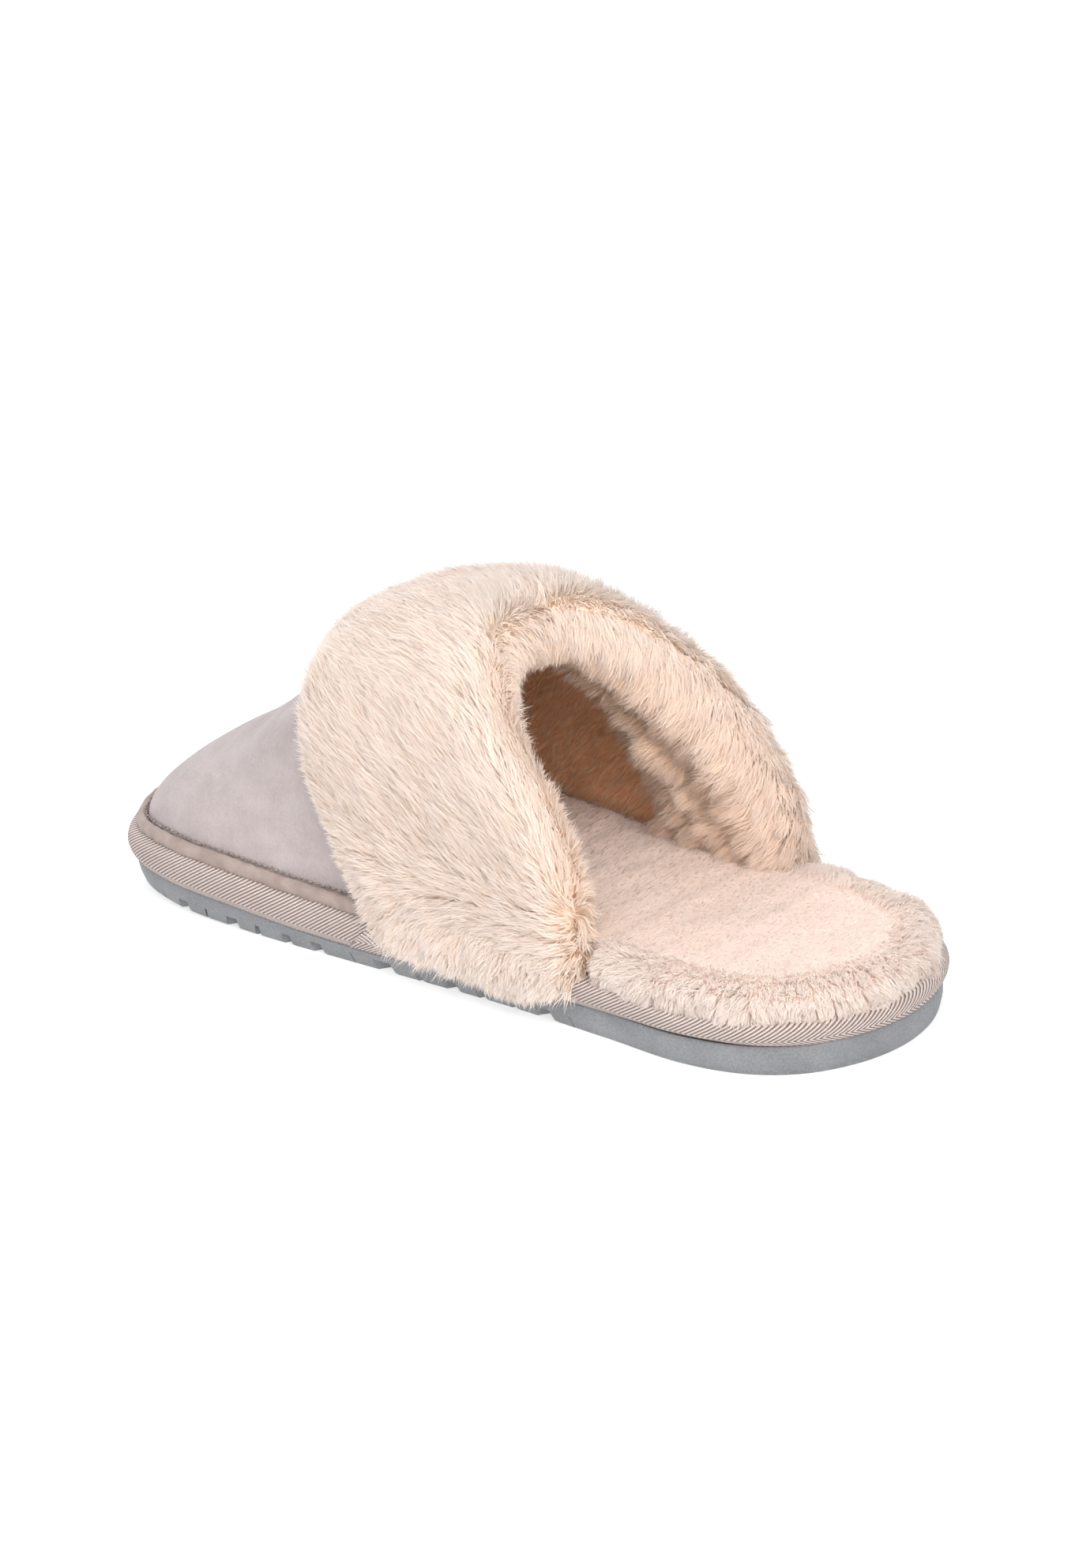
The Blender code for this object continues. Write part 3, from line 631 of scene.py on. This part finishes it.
def grow(name, skin, count, comb, look, width, locks, gather, density=1, split=True,
         loose=0.10, painted_shade=None):
    """Ribbons of hair on a skin, drawn together into locks towards their tips."""
    row, column = skin.scatter(count, density)
    scale = 0.80 + 0.34 * random.random(count)
    root, middle, tip, normal, length = hair_line(skin, row, column, comb, scale)
    centre = lock_centres(row, column, locks)
    lock_middle, lock_tip = hair_line(skin, *centre[:, :2].T, comb, 1.04)[1:3]
    swing = (centre[:, 2:3] - 0.5) * 0.5
    lock_tip = lock_tip + swing * length * unit(np.cross(normal, lock_tip - lock_middle))
    facts = skin.at(row, column)[2]
    pull = gather(facts)[:, None] if callable(gather) else gather
    pull = pull * (0.55 + 0.45 * random.random((count, 1)))
    middle = middle + (lock_middle - middle) * pull * 0.40
    tip = tip + (lock_tip - tip) * pull
    tip = tip + random.normal(0, 1, (count, 3)) * length * loose
    middle = middle + random.normal(0, 1, (count, 3)) * length * loose * 0.35
    for ends in (middle, tip):
        ends[:, 2] = np.maximum(ends[:, 2], 0.0004)
    root = root - normal * 0.0004
    lean = unit(tip - root)
    side = unit(np.cross(lean, normal))
    face = unit(np.cross(side, lean))
    twist = random.normal(0, 0.55, (count, 1))
    side = side * np.cos(twist) + face * np.sin(twist)
    half = width / 2 * (0.7 + 0.6 * random.random((count, 1)))
    soft = unit(normal * 0.75 + face * 0.35 + random.normal(0, 0.16, (count, 3)))
    own = random.random(count)
    reach = side * half
    rings = [root - reach, root + reach, tip]
    along, corners = [0.0, 0.0, 1.0], [(0, 1, 2)]
    if split:
        rings[2:2] = [middle - reach * 0.85, middle + reach * 0.85]
        along[2:2] = [0.5, 0.5]
        corners = [(0, 1, 3, 2), (2, 3, 4)]
    base = np.arange(count)[:, None] * len(rings)
    faces = [base + corner for corner in corners]
    points = np.stack(rings, axis=1).reshape(-1, 3)
    # share of the warmer fold tones at each hair: painted shade in the fold
    fold_shade = painted_shade(facts) if painted_shade else 0 * own
    tint = np.stack([np.column_stack([t + 0 * own, own, centre[:, 2], fold_shade]) for t in along],
                    axis=1)
    normals = np.repeat(soft, len(rings), axis=0)
    hold(make_mesh(name, points, faces, look, normals, tint=tint.reshape(-1, 4)))


def grid_normals(points, sign):
    """Normals of a grid of points."""
    across, down = np.gradient(points, axis=1), np.gradient(points, axis=0)
    return unit(np.cross(across, down)) * sign


def still_tint(points, value, painted_shade=0.0):
    """Tint of the skin under the hair."""
    tint = np.ones((len(points), 4)) * (value, 0.5, 0.7, 1.0)
    # share of the warmer fold tones: painted shade in the fold
    tint[:, 3] = painted_shade
    return tint


def rolling(points, scale, seed):
    """Slow bumps between -1 and 1 over the points."""
    total = 0
    for k in range(4):
        way = np.array((math.sin(seed + 2.1 * k), math.cos(seed * 1.7 + 1.3 * k),
                        math.sin(seed * 0.6 + 3.7 * k)))
        total = total + np.sin(points @ way * scale * (1 + 0.37 * k) + seed * (k + 1))
    return total / 4


# Outsole
def zigzag(x):
    phase = x / ZIGZAG_PITCH
    return ZIGZAG_REACH * (4 * abs(phase - math.floor(phase + 0.5)) - 1)


def groove_cutter(place, width, reach, depth):
    y = place * LENGTH - HEEL_CENTRE
    half = width * LENGTH / 2
    slope = min(half * 0.35, 0.0006)
    turns = math.ceil(reach / (ZIGZAG_PITCH / 2))
    low = float(spring(y))
    rows = []
    for step in range(-turns, turns + 1):
        x = max(-reach, min(reach, step * ZIGZAG_PITCH / 2))
        middle = y + zigzag(x)
        rows.append([(x, middle - half - slope, low - GROOVE_DEPTH),
                     (x, middle + half + slope, low - GROOVE_DEPTH),
                     (x, middle + half - slope, low + depth),
                     (x, middle - half + slope, low + depth)])
    count = len(rows)
    last = (count - 1) * 4
    faces = [grid_quads(count, 4, close=True, flip=True), [(0, 1, 2, 3)],
             [(last + 3, last + 2, last + 1, last)]]
    return make_mesh("groove_cutter", rows, faces, None)


def disc(rows, steps, flip):
    """Strips from side to side that close a ring of the outline."""
    k = np.arange(1, steps - 1)
    count = 2 * steps
    quads = np.column_stack([k, k + 1, count - k - 1, count - k]) + rows * count
    ends = np.array(((0, 1, count - 1), (steps - 1, steps, steps + 1))) + rows * count
    return (quads[:, ::-1], ends[:, ::-1]) if flip else (quads, ends)


def make_outsole():
    steps = 80
    round_off = 0.0005
    profile = (
        (-SOLE_TAPER - round_off, spring),
        (-SOLE_TAPER, lambda y: spring(y) + round_off),
        (-SOLE_TAPER * 0.35, lambda y: spring(y) + GROOVE_DEPTH),
        (-SOLE_TAPER * 0.08, lambda y: sole_top(y) - round_off * 1.4),
        (-round_off, sole_top),
    )
    rows = ring_rows(profile, steps)
    low_quads, low_ends = disc(0, steps, False)
    top_quads, top_ends = disc(len(rows) - 1, steps, True)
    faces = [grid_quads(len(rows), 2 * steps, close=True, flip=True), low_quads, top_quads,
             low_ends, top_ends]
    sole = make_mesh("sole_rough", rows, faces, None)
    face_outwards(sole.data)
    cutters = [groove_cutter(place, width, BALL_WIDTH, GROOVE_DEPTH) for place, width in GROOVES]
    cutters += [groove_cutter(place, width, reach * LENGTH, GROOVE_DEPTH * 0.6)
                for place, width, reach in HEEL_GROOVES]
    for cutter in cutters:
        face_outwards(cutter.data)
        cut = sole.modifiers.new("groove", "BOOLEAN")
        cut.operation = "DIFFERENCE"
        cut.solver = "EXACT"
        cut.object = cutter
    edge = sole.modifiers.new("edge", "BEVEL")
    edge.width = 0.00025
    edge.segments = 2
    edge.limit_method = "ANGLE"
    edge.angle_limit = math.radians(50)
    bpy.context.view_layer.update()
    ready = sole.evaluated_get(bpy.context.evaluated_depsgraph_get())
    mesh = bpy.data.meshes.new_from_object(ready)
    for old in [sole] + cutters:
        bpy.data.objects.remove(old)
    mesh.materials.clear()
    mesh.materials.append(sole_rubber())
    mesh.shade_smooth()
    mesh.set_sharp_from_angle(angle=math.radians(40))
    dress(add_object("moulded_sole", mesh), "outsole")


def run_lengths(line):
    """Length along a line up to each of its points."""
    return np.concatenate([[0], np.cumsum(np.linalg.norm(np.diff(line, axis=0), axis=1))])


# Edge tape
def make_tape():
    """One strip round the footbed; its end lies over its start on the big toe's side."""
    steps = 220
    joint = 0.148 - HEEL_CENTRE
    overlap = 0.012
    slant = 0.009
    base = ring(0.0, steps)
    first = int(np.argmin(np.hypot(base[:, 0] - edge_x(0.0, MEDIAL, joint), base[:, 1] - joint)))
    order = (first - np.arange(2 * steps + 1)) % (2 * steps)
    belly = ((0.55, 0.13), (0.86, 0.28), (1.00, 0.45), (0.96, 0.60), (0.68, 0.76), (0.25, 0.88),
             (-0.40, 0.96))
    lip = ((0.55, 0.0), (1.00, 0.0), (1.00, -0.0006), (0.55, -0.0008))
    profile = [(FIT, 0.00, 0.0)] + [(TAPE_BULGE * out, share, 0.0) for out, share in belly]
    profile += [(-TAPE_LIP * out, 1.00, drop) for out, drop in lip]
    rows = []
    for out, share, extra in profile:
        flat = ring(-out, steps)[order]
        y = flat[:, 1]
        gape = 0.0008 * np.exp(-((y - 0.002) / 0.020) ** 2) * max(0, 1 - 5 * share)
        height = sole_top(y) + FIT + tape_height(y) * share + extra + gape * (flat[:, 0] < 0)
        rows.append(np.column_stack([flat, height]))
    rows = np.array(rows)
    up = run_lengths(rows.mean(1))
    weave = np.zeros(rows.shape)
    weave[..., 0] = run_lengths(rows[4])
    weave[..., 1] = up[:, None] / up[9] * (tape_height(rows[4][:, 1]) + 0.003)
    # the covering end: it starts with a slanted edge and runs on over the strip
    shares = np.linspace(0, 1, 40)
    reach = overlap + 0.030
    cover = []
    cover_weave = []
    for k, (out, share, extra) in enumerate(profile[:10]):
        start = joint + slant * (0.5 - share)
        y = start - shares * reach
        lie = 0.00045 * np.clip(1 - (shares - 0.55) / 0.4, 0, 1)
        x = edge_x(-(out + lie), MEDIAL, y)
        z = sole_top(y) + FIT + tape_height(y) * share + extra + lie * (share > 0.9)
        cover.append(np.column_stack([x, y, z]))
        turn_by = math.radians(38) * np.exp(-shares * reach / 0.012)
        u, v = shares * reach, np.full(len(shares), weave[k, 0, 1])
        cover_weave.append(np.column_stack([u * np.cos(turn_by) + v * np.sin(turn_by),
                                            v * np.cos(turn_by) - u * np.sin(turn_by) * 0.6,
                                            0 * u]))
    cover = np.array(cover)
    points, marks = (np.concatenate([np.reshape(part, (-1, 3)) for part in both])
                     for both in ((rows, cover), (weave, cover_weave)))
    faces = [grid_quads(*part.shape[:2], start, flip=True)
             for part, start in ((rows, 0), (cover, rows.size // 3))]
    piece = make_mesh("herringbone_tape", points, faces, tape_weave(), weave=marks)
    dress(piece, "edge_tape")


# Piping and its stitches
def piping_share(y):
    return 1 - PIPING_TOE_DIP * np.clip((along_share(y) - 0.88) / 0.12, 0, 1)


def vamp_ring(steps):
    """The ring's points from behind the collar's front border round the toe, and lengths along."""
    base = ring(0.0, steps)
    keep = np.flatnonzero(base[:, 1] > COLLAR_FOOT - HEEL_CENTRE - 0.004)
    return keep, run_lengths(base[keep])


def make_piping():
    steps = 900
    keep, along = vamp_ring(steps)
    tooth_pitch = 0.0017
    tooth = 2 * np.abs(along / tooth_pitch - np.floor(along / tooth_pitch + 0.5))
    uneven = 0.55 + 0.45 * np.sin(along * 410 + 2 * np.sin(along * 130))
    inner = FIT - UPPER_INSET
    full = ring(0.0, steps)
    outward = ring(-0.001, steps) - full
    wave = 0.00012 * np.sin(along * 900 + 3 * np.sin(along * 170))
    count = 12
    rows = []
    for k in range(count):
        swing = math.radians(-62 + 236 * k / (count - 1))
        out = inner + PIPING_WIDTH * (0.47 + 0.53 * math.cos(swing))
        up = PIPING_HEIGHT * (0.46 + 0.54 * math.sin(swing))
        low = max(0.0, 1 - k / 2.5)
        edge = out + (0.00055 * tooth * uneven + 0.0003) * low
        flat = full[keep] + outward[keep] * ((edge + wave) / 0.001)[:, None]
        y = flat[:, 1]
        height = tape_top(y) + np.maximum(up * piping_share(y), -0.0001) + 0.0001
        rows.append(np.column_stack([flat, height]))
    rows = np.array(rows)
    piece = make_mesh("piping_roll", rows, [grid_quads(*rows.shape[:2])], binding_cloth())
    dress(piece, "piping")


def make_stitches():
    """Small uneven stitches where the piping meets the vamp."""
    pitch, size = 0.0021, 0.00030
    keep, along = vamp_ring(900)
    places = np.arange(0.002, along[-1] - 0.002, pitch)
    base = ring(UPPER_INSET - 0.0003, 900)[keep]
    points, faces = [], []
    for place in places:
        place += random.normal(0, 0.00018)
        reach = 0.00065 + random.normal(0, 0.00012)
        ends = []
        for at in (place - reach, place + reach):
            x, y = (np.interp(at, along, base[:, k]) for k in (0, 1))
            rise = PIPING_HEIGHT * 0.98 * piping_share(y) + random.normal(0, 0.00012)
            ends.append(np.array((x, y, tape_top(y) + rise + 0.0004)))
        way = unit(ends[1] - ends[0])
        out = unit(np.cross(way, (0, 0, 1)))
        rise = np.cross(out, way)
        start = len(points)
        for step, wide in ((0.0, 0.45), (0.3, 1.0), (0.7, 1.0), (1.0, 0.45)):
            centre = ends[0] + (ends[1] - ends[0]) * step
            for k in range(5):
                swing = 2 * math.pi * k / 5
                points.append(centre + (out * math.cos(swing) + rise * math.sin(swing))
                              * size * wide)
        faces.append(grid_quads(4, 5, start, close=True))
    hold(make_mesh("seam_stitches", points, faces, thread_look()))


# Upper
# angle as a share of the arch, place along the length, reach along, reach across, depth; a crease
# with a depth below zero is a ridge
CREASES = (
    (0.20, 0.800, 0.050, 0.030, 0.00075), (0.26, 0.755, 0.018, 0.060, -0.00050),
    (0.36, 0.790, 0.022, 0.090, 0.00080), (0.16, 0.870, 0.040, 0.035, 0.00055),
    (0.50, 0.830, 0.020, 0.110, 0.00060), (0.66, 0.790, 0.024, 0.080, 0.00080),
    (0.80, 0.800, 0.045, 0.035, 0.00070), (0.45, 0.905, 0.014, 0.080, -0.00035),
)


def crease_depth(part, y):
    total = 0
    for at, place, along, across, depth in CREASES:
        gap = ((part - at) / across) ** 2 + ((along_share(y) - place) / along) ** 2
        total = total + depth * np.exp(-gap)
    return total


def make_upper():
    columns, rows = 161, 120
    part = np.linspace(0, 1, columns)[None, :]
    angle = math.pi * part
    share = np.sin(math.pi / 2 * np.linspace(0, 1, rows))[:, None]
    skins = []
    for out in (0.0, -WALL):
        rear = throat(angle)
        toe = LENGTH - HEEL_CENTRE - UPPER_INSET + out - 0.00002
        y = rear + (toe - rear) * share
        low = 1 - np.abs(2 * part - 1)
        pucker = 0.00016 * np.sin(y * 950 + 4 * np.sin(y * 210)) * np.exp(-(low / 0.05) ** 2)
        moved = out - crease_depth(part, y) + pucker
        skins.append(arch(angle + 0 * y, y, moved if out == 0.0 else out + 0 * y))
    points = np.concatenate([skin.reshape(-1, 3) for skin in skins])
    count = rows * columns
    outer = grid_quads(rows, columns)
    inner = grid_quads(rows, columns, count, flip=True)
    rear_edge = np.arange(columns - 1)
    first = np.arange(rows - 1) * columns
    last = first + columns - 1
    rims = [np.column_stack([a, b, b + count, a + count]) for a, b in
            ((rear_edge + 1, rear_edge), (first, first + columns), (last + columns, last))]
    piece = make_mesh("suede_vamp", points, [outer, inner] + rims, suede())
    tones = (srgb(250, 196, 146), srgb(255, 218, 178), srgb(255, 234, 204))
    lining = pile("lining_plush", tones, tones, (0.96, 0.94, 0.92))
    piece.data.materials.append(pile("lining_ground", tones, tones, (0.96, 0.94, 0.92), 0))
    looks = np.zeros(len(piece.data.polygons), np.int32)
    looks[len(outer):len(outer) + len(inner)] = 1
    piece.data.polygons.foreach_set("material_index", looks)
    dress(piece, "upper")
    keep = slice(8, 96)
    skin = Skin(skins[1][keep], -1.0, part=part)
    grow("lining_nap", skin, 45000, lining_comb, lining, 0.00055, (4.0, 4.0), 0.3,
         split=False)


def lining_comb(root, normal, facts):
    return np.array((0.0, 0.6, -0.8)), 0.35, 0.0036


# Insole
# how far out from the plush's edge, and the rise over the tape's top, from edge to crown
INSOLE_PROFILE = (
    (0.0000, -0.0014), (0.0012, 0.0000), (0.0022, 0.0014), (0.0022, 0.0034), (0.0012, 0.0052),
    (-0.0008, 0.0064), (-0.0034, 0.0070),
)


def under_collar(y, x):
    foot = np.where(x > 0, THROAT_FOOT_LATERAL, THROAT_FOOT_MEDIAL)
    start = foot - ROLL_FOOT - HEEL_CENTRE - 0.005
    return step_up(y, start, start + 0.010)


def make_insole():
    steps = 150
    base = ring(0.0, steps)
    covered = under_collar(base[:, 1], base[:, 0])
    toe = np.clip((along_share(base[:, 1]) - 0.82) / 0.18, 0, 1)
    heel_inset = TAPE_LIP + FIT
    inset = heel_inset + (UPPER_INSET + WALL + 0.0022 - heel_inset) * covered + 0.0075 * toe
    rows = []
    for out, rise in INSOLE_PROFILE:
        flat = ring(inset - out * (1 - covered), steps)
        wave = 0.0006 * rolling(np.column_stack([flat, 0 * toe]), 420, 3.0) * (rise > 0.001)
        rows.append(np.column_stack([flat, tape_top(flat[:, 1]) + rise + wave]))
    side = np.array(rows)
    lateral, medial = sides(side[-1])
    across = 40
    t = np.linspace(0, 1, across + 1)[None, :, None]
    top = medial[:, None, :] * (1 - t) + lateral[:, None, :] * t
    y = top[..., 1]
    middle = 4 * t[..., 0] * (1 - t[..., 0])
    heel_cup = np.exp(-((y - 0.002) / 0.030) ** 2)
    ball = np.exp(-((y - 0.110) / 0.035) ** 2)
    top[..., 2] += (0.0012 - 0.0016 * heel_cup - 0.0010 * ball) * middle
    top[..., 2] += 0.00035 * rolling(top, 160, 1.0) * middle
    points = np.concatenate([side.reshape(-1, 3), top.reshape(-1, 3)])
    faces = [grid_quads(len(side), 2 * steps, close=True),
             grid_quads(top.shape[0], across + 1, side.shape[0] * 2 * steps)]
    tones = (srgb(254, 240, 230), srgb(255, 245, 238), srgb(255, 248, 243))
    look = pile("insole_plush", tones, tones, (0.99, 0.985, 0.98))
    ground = (srgb(220, 196, 183), srgb(224, 201, 188), srgb(228, 206, 195))
    ground = pile("insole_ground", ground, ground, (0.985, 0.98, 0.975), 0)
    piece = make_mesh("plush_footbed", points, faces, ground, tint=still_tint(points, 0.85))
    face_outwards(piece.data, 0.00002)
    dress(piece, "insole")
    skin = Skin(top[3:118], 1.0)
    grow("footbed_nap", skin, 60000, nap_comb, look, 0.00026, (1.3, 1.6), 0.04,
         split=False, loose=0.24)
    for out, rise in ((-0.0056, 0.0073), (-0.0080, 0.0075)):
        flat = ring(inset - out * (1 - covered), steps)
        rows.append(np.column_stack([flat, tape_top(flat[:, 1]) + rise]))
    around = np.array(rows)
    around = np.concatenate([around, around[:, :1]], axis=1)
    open_heel = 1 - np.append(covered, covered[0])
    inward = np.linspace(0, 1, len(rows)) ** 2
    rim_skin = Skin(around, 1.0, inward=inward[:, None])
    weight = (open_heel[None, 1:] > 0.02) * (1 - 0.85 * inward[1:, None])
    grow("footbed_rim", rim_skin, 34000, rim_comb, look, 0.00030, (1.5, 2.6), 0.42,
         density=weight, loose=0.16)


def nap_comb(root, normal, facts):
    turn_by = rolling(root, 40, 5.0) * 0.9
    flow = np.column_stack([np.sin(turn_by), -np.cos(turn_by), 0 * turn_by])
    return flow, 0.12, 0.0022


def rim_comb(root, normal, facts):
    flat = unit(np.column_stack([root[:, 0], root[:, 1], 0 * root[:, 0]]))
    wild = rolling(root, 300, 8.0)
    swirl = rolling(root, 170, 5.0)
    flow = flat * 0.7 + np.column_stack([0 * wild, 0.6 * swirl, -0.45 + 0 * wild])
    length = (0.0038 + 0.0018 * wild) * (1 - 0.45 * facts["inward"])
    return flow, 0.32 + 0.20 * swirl, length


# Fur collar
def collar_grid(thin):
    """The fold from the front border over the throat to the facing's lower edge; `thin` is the
    share of the pile's depth that the skin stands at."""
    part = np.linspace(0, 1, 181)
    middle = math.pi * part
    outside = outer_depth(middle) * thin
    inner_pile = from_feet(FACING_FOOT, FACING_FOOT, FACING_CROWN, middle) * thin
    back = from_feet(ROLL_FOOT, ROLL_FOOT, ROLL_CROWN, middle) * thin
    inside = WALL + inner_pile

    rows, places = [], []

    def add_row(fold, move, out, lift):
        foot = np.array([move(0.0), move(math.pi)]).reshape(2, -1)[:, 0]
        low = [float(foot_angle(y, o, tape_top(y) + lift))
               for y, o in zip(foot, (out[0], out[-1]))]
        angle = low[0] + part * (math.pi - low[0] - low[1])
        rows.append(arch(angle, move(angle), out))
        places.append(fold)

    for share in np.concatenate([[1.0, 0.985, 0.95], np.linspace(0.90, 0.04, 26)]):
        depth = min(1.0, 0.30 + 1.9 * (1 - share) ** 0.6) * (share < 1.0)
        add_row(1 - share, lambda a: throat(a) + share * (border(a) - throat(a)),
                FIT + outside * depth, -0.004)
    for step in range(12):
        swing = math.pi * (step + 0.5) / 12
        out = (outside - inside) / 2 + (outside + inside) / 2 * math.cos(swing)
        lift = (PLUSH_HEIGHT - 0.001) * (step / 11) - 0.004
        reach = back * math.sin(swing)
        add_row(1 + (step + 0.5) / 12,
                lambda a: throat(a) - (reach if np.ndim(a) else reach[0]), out, lift)
    for share in np.linspace(0.06, 1.0, 14):
        depth = 1.0 - 0.8 * max(0.0, share - 0.6) / 0.4
        add_row(2 + share, lambda a: throat(a) + share * FACING_DEPTH,
                -WALL - inner_pile * depth, PLUSH_HEIGHT - 0.005)
    points, places = np.array(rows), np.array(places)
    swell = 0.00045 + 0.0011 * step_up(places, 1.6, 2.3)[:, None]
    wave = rolling(points, 230, 9.0) + 0.6 * rolling(points, 480, 2.0)
    normals = grid_normals(points, -1.0)
    return points + normals * (swell * wave)[..., None], places, part


def step_up(value, start, end):
    share = np.clip((value - start) / (end - start), 0, 1)
    return share * share * (3 - 2 * share)


def collar_comb(root, normal, facts):
    """Brushed towards the toe and up outside, falling over the tape at the feet, upright on the
    fold, and hanging in and down inside."""
    fold, part, height = facts["fold"], facts["part"], facts["height"]
    far = step_up(part, 0.50, 0.62)
    near = 1 - step_up(part, 0.22, 0.48)
    outside = 1 - step_up(fold, 0.42 + 0.75 * near, 1.12 + 0.76 * near - 0.28 * far)
    inside = step_up(fold, 1.06 + 0.40 * near - 0.26 * far, 1.85 + 0.15 * near - 0.50 * far)
    border_near = step_up(-fold, -0.16, 0.0)
    rise = unit(np.column_stack([-normal[:, 2] * normal[:, 0], 0 * fold,
                                 np.abs(normal[:, 0]) + 0.15]))
    toe = np.array((0.0, 1.0, 0.0))
    down = np.array((0.0, 0.0, -1.0))
    foot = 0.010 + 0.006 * (1 - step_up(fold, 0.5, 0.9)) + 0.003 * rolling(root, 180, 2.0)
    up = np.clip((height - foot) / 0.013, -1.3, 0.85)
    up = up * (1 - 0.97 * step_up(height, 0.045, 0.075))
    up = up * (1 - 0.8 * border_near) - 0.25 * border_near
    wander = 0.30 * rolling(root, 120, 6.0)
    stray = 0.28 * rolling(root, 310, 1.0)
    brushed = toe * (0.85 * outside + wander)[:, None] - down * stray[:, None]
    brushed = brushed + rise * (up * (0.35 + 0.65 * outside) * (1 - inside))[:, None]
    droop = (1 - outside) * (1 - inside) * step_up(-height, -0.034, -0.010)
    brushed = brushed + (down * 0.7 - toe * 0.6) * droop[:, None]
    tuft = rolling(root, 260, 4.0)
    curl = rolling(root, 420, 7.0)
    hang = facts["row_way"] * 0.75 + down * 0.55 + toe * (0.5 * tuft)[:, None]
    flow = brushed * (1 - inside)[:, None] + hang * inside[:, None]
    crown = np.sin(math.pi * part) ** 4
    lift = 0.36 * outside + 0.46 * (1 - outside) * (1 - inside)
    lift = lift + (0.42 - 0.14 * crown + 0.22 * curl) * inside
    lift = lift - 0.10 * border_near
    depth = outer_depth(math.pi * part)
    low = step_up(-height, -0.011, 0.0)
    length = depth * (0.84 - 0.25 * border_near + 0.35 * low * outside)
    inner_length = 0.0086 - 0.0036 * crown + 0.0016 * curl
    return flow, lift, length * (1 - 0.42 * (1 - outside)) * (1 - inside) + inner_length * inside


def skirt_comb(root, normal, facts):
    share = facts["share"]
    wild = rolling(root, 240, 3.0)
    flow = np.column_stack([0 * share, 0.45 - 0.5 * share + 0.4 * wild, -1.0 + 0 * share])
    length = 0.0034 + 0.0024 * np.sin(math.pi * share) + 0.0014 * wild
    return flow, 0.16, length * (1 - 0.5 * step_up(share, 0.85, 1.0))


# Painted shade: the share of the warmer, darker fold tones, none outside, rising over the roll,
# full down the facing
def fold_painted_shade(facts):
    return np.clip((facts["fold"] - 1.15) / 0.9, 0, 1)


def collar_gather(facts):
    """Locks show low on the sides and inside; the crown is brushed smooth."""
    low = np.clip((0.052 - facts["height"]) / 0.030, 0, 1)
    inside = step_up(facts["fold"], 1.5, 2.2)
    return 0.20 + 0.30 * low * (1 - inside) + 0.38 * inside


def outer_depth(angle):
    return from_feet(FUR_FOOT_MEDIAL, FUR_FOOT_LATERAL, FUR_CROWN, angle)


def make_collar():
    # root, body and tip: the darker, yellower roots are partly the fur's own colour, partly
    # painted shade between the locks
    cool = (srgb(255, 234, 210), srgb(255, 243, 233), srgb(255, 250, 247))
    # warmer, darker tones deep in the fold: painted shade where the fur turns in
    fold_shade = (srgb(254, 219, 182), srgb(255, 234, 213), srgb(255, 243, 233))
    ground = pile("collar_ground", cool, fold_shade, (0.985, 0.975, 0.96), 0)
    fur = pile("collar_fur", cool, fold_shade, (0.985, 0.975, 0.96))
    points, places, part = collar_grid(0.55)
    rows, columns = points.shape[:2]
    flat = points.reshape(-1, 3)
    # painted shade in the fold, for the skin under the hair
    painted_shade = fold_painted_shade({"fold": np.repeat(places, columns)})
    base = make_mesh("collar_skin", flat, [grid_quads(rows, columns)], ground,
                     tint=still_tint(flat, 0.35, painted_shade))
    dress(base, "fur_collar")
    facts = {"fold": places[:, None], "part": part[None, :],
             "height": points[..., 2] - tape_top(points[..., 1])}
    middle = columns // 2
    parts = (
        ("collar_fur_medial", slice(0, 36), slice(0, middle + 1), 62000, (1.3, 2.0)),
        ("collar_fur_lateral", slice(0, 32), slice(middle, columns), 44000, (1.3, 2.0)),
        ("facing_fur_medial", slice(35, rows), slice(0, middle + 1), 22000, (2.0, 4.0)),
        ("facing_fur_lateral", slice(31, rows), slice(middle, columns), 52000, (1.6, 2.6)),
    )
    for name, down, across, count, locks in parts:
        own = {k: np.broadcast_to(v, points.shape[:2])[down, across] for k, v in facts.items()}
        skin = Skin(points[down, across], -1.0, **own)
        grow(name, skin, count, collar_comb, fur, 0.00032, locks, collar_gather,
             painted_shade=fold_painted_shade)
    make_skirts(fur)


def make_skirts(fur):
    clear = TAPE_BULGE + FIT
    share = np.linspace(0, 1, 60)
    front = COLLAR_FOOT - SKIRT_FRONT_REST - HEEL_CENTRE
    for side, name, foot in ((MEDIAL, "medial", THROAT_FOOT_MEDIAL),
                             (LATERAL, "lateral", THROAT_FOOT_LATERAL)):
        rear = foot - HEEL_CENTRE - SKIRT_REAR_REACH
        y = front + (rear - front) * share
        hang = SKIRT_DROP * read(SKIRT, share, 1)
        profile = ((-0.0010, 0.0080), (clear * 0.6, 0.0055), (clear + 0.0012, 0.0010),
                   (clear + 0.0008, -0.30 * hang), (clear + 0.0003, -0.52 * hang))
        grid = np.array([np.column_stack([edge_x(-out, side, y), y, tape_top(y) + rise])
                         for out, rise in profile])
        skin = Skin(grid, 1.0 if side == LATERAL else -1.0, share=share[None, :])
        fade = np.array(((0.35,), (0.8,), (1.0,), (1.0,)))
        fade = fade * np.clip((1 - share[1:]) / 0.10, 0.15, 1)
        grow("skirt_fur_" + name, skin, 9000, skirt_comb, fur, 0.00036, (0.9, 2.0),
             0.45, density=fade)


make_camera()
make_studio()
make_outsole()
make_tape()
make_piping()
make_stitches()
make_upper()
make_insole()
make_collar()
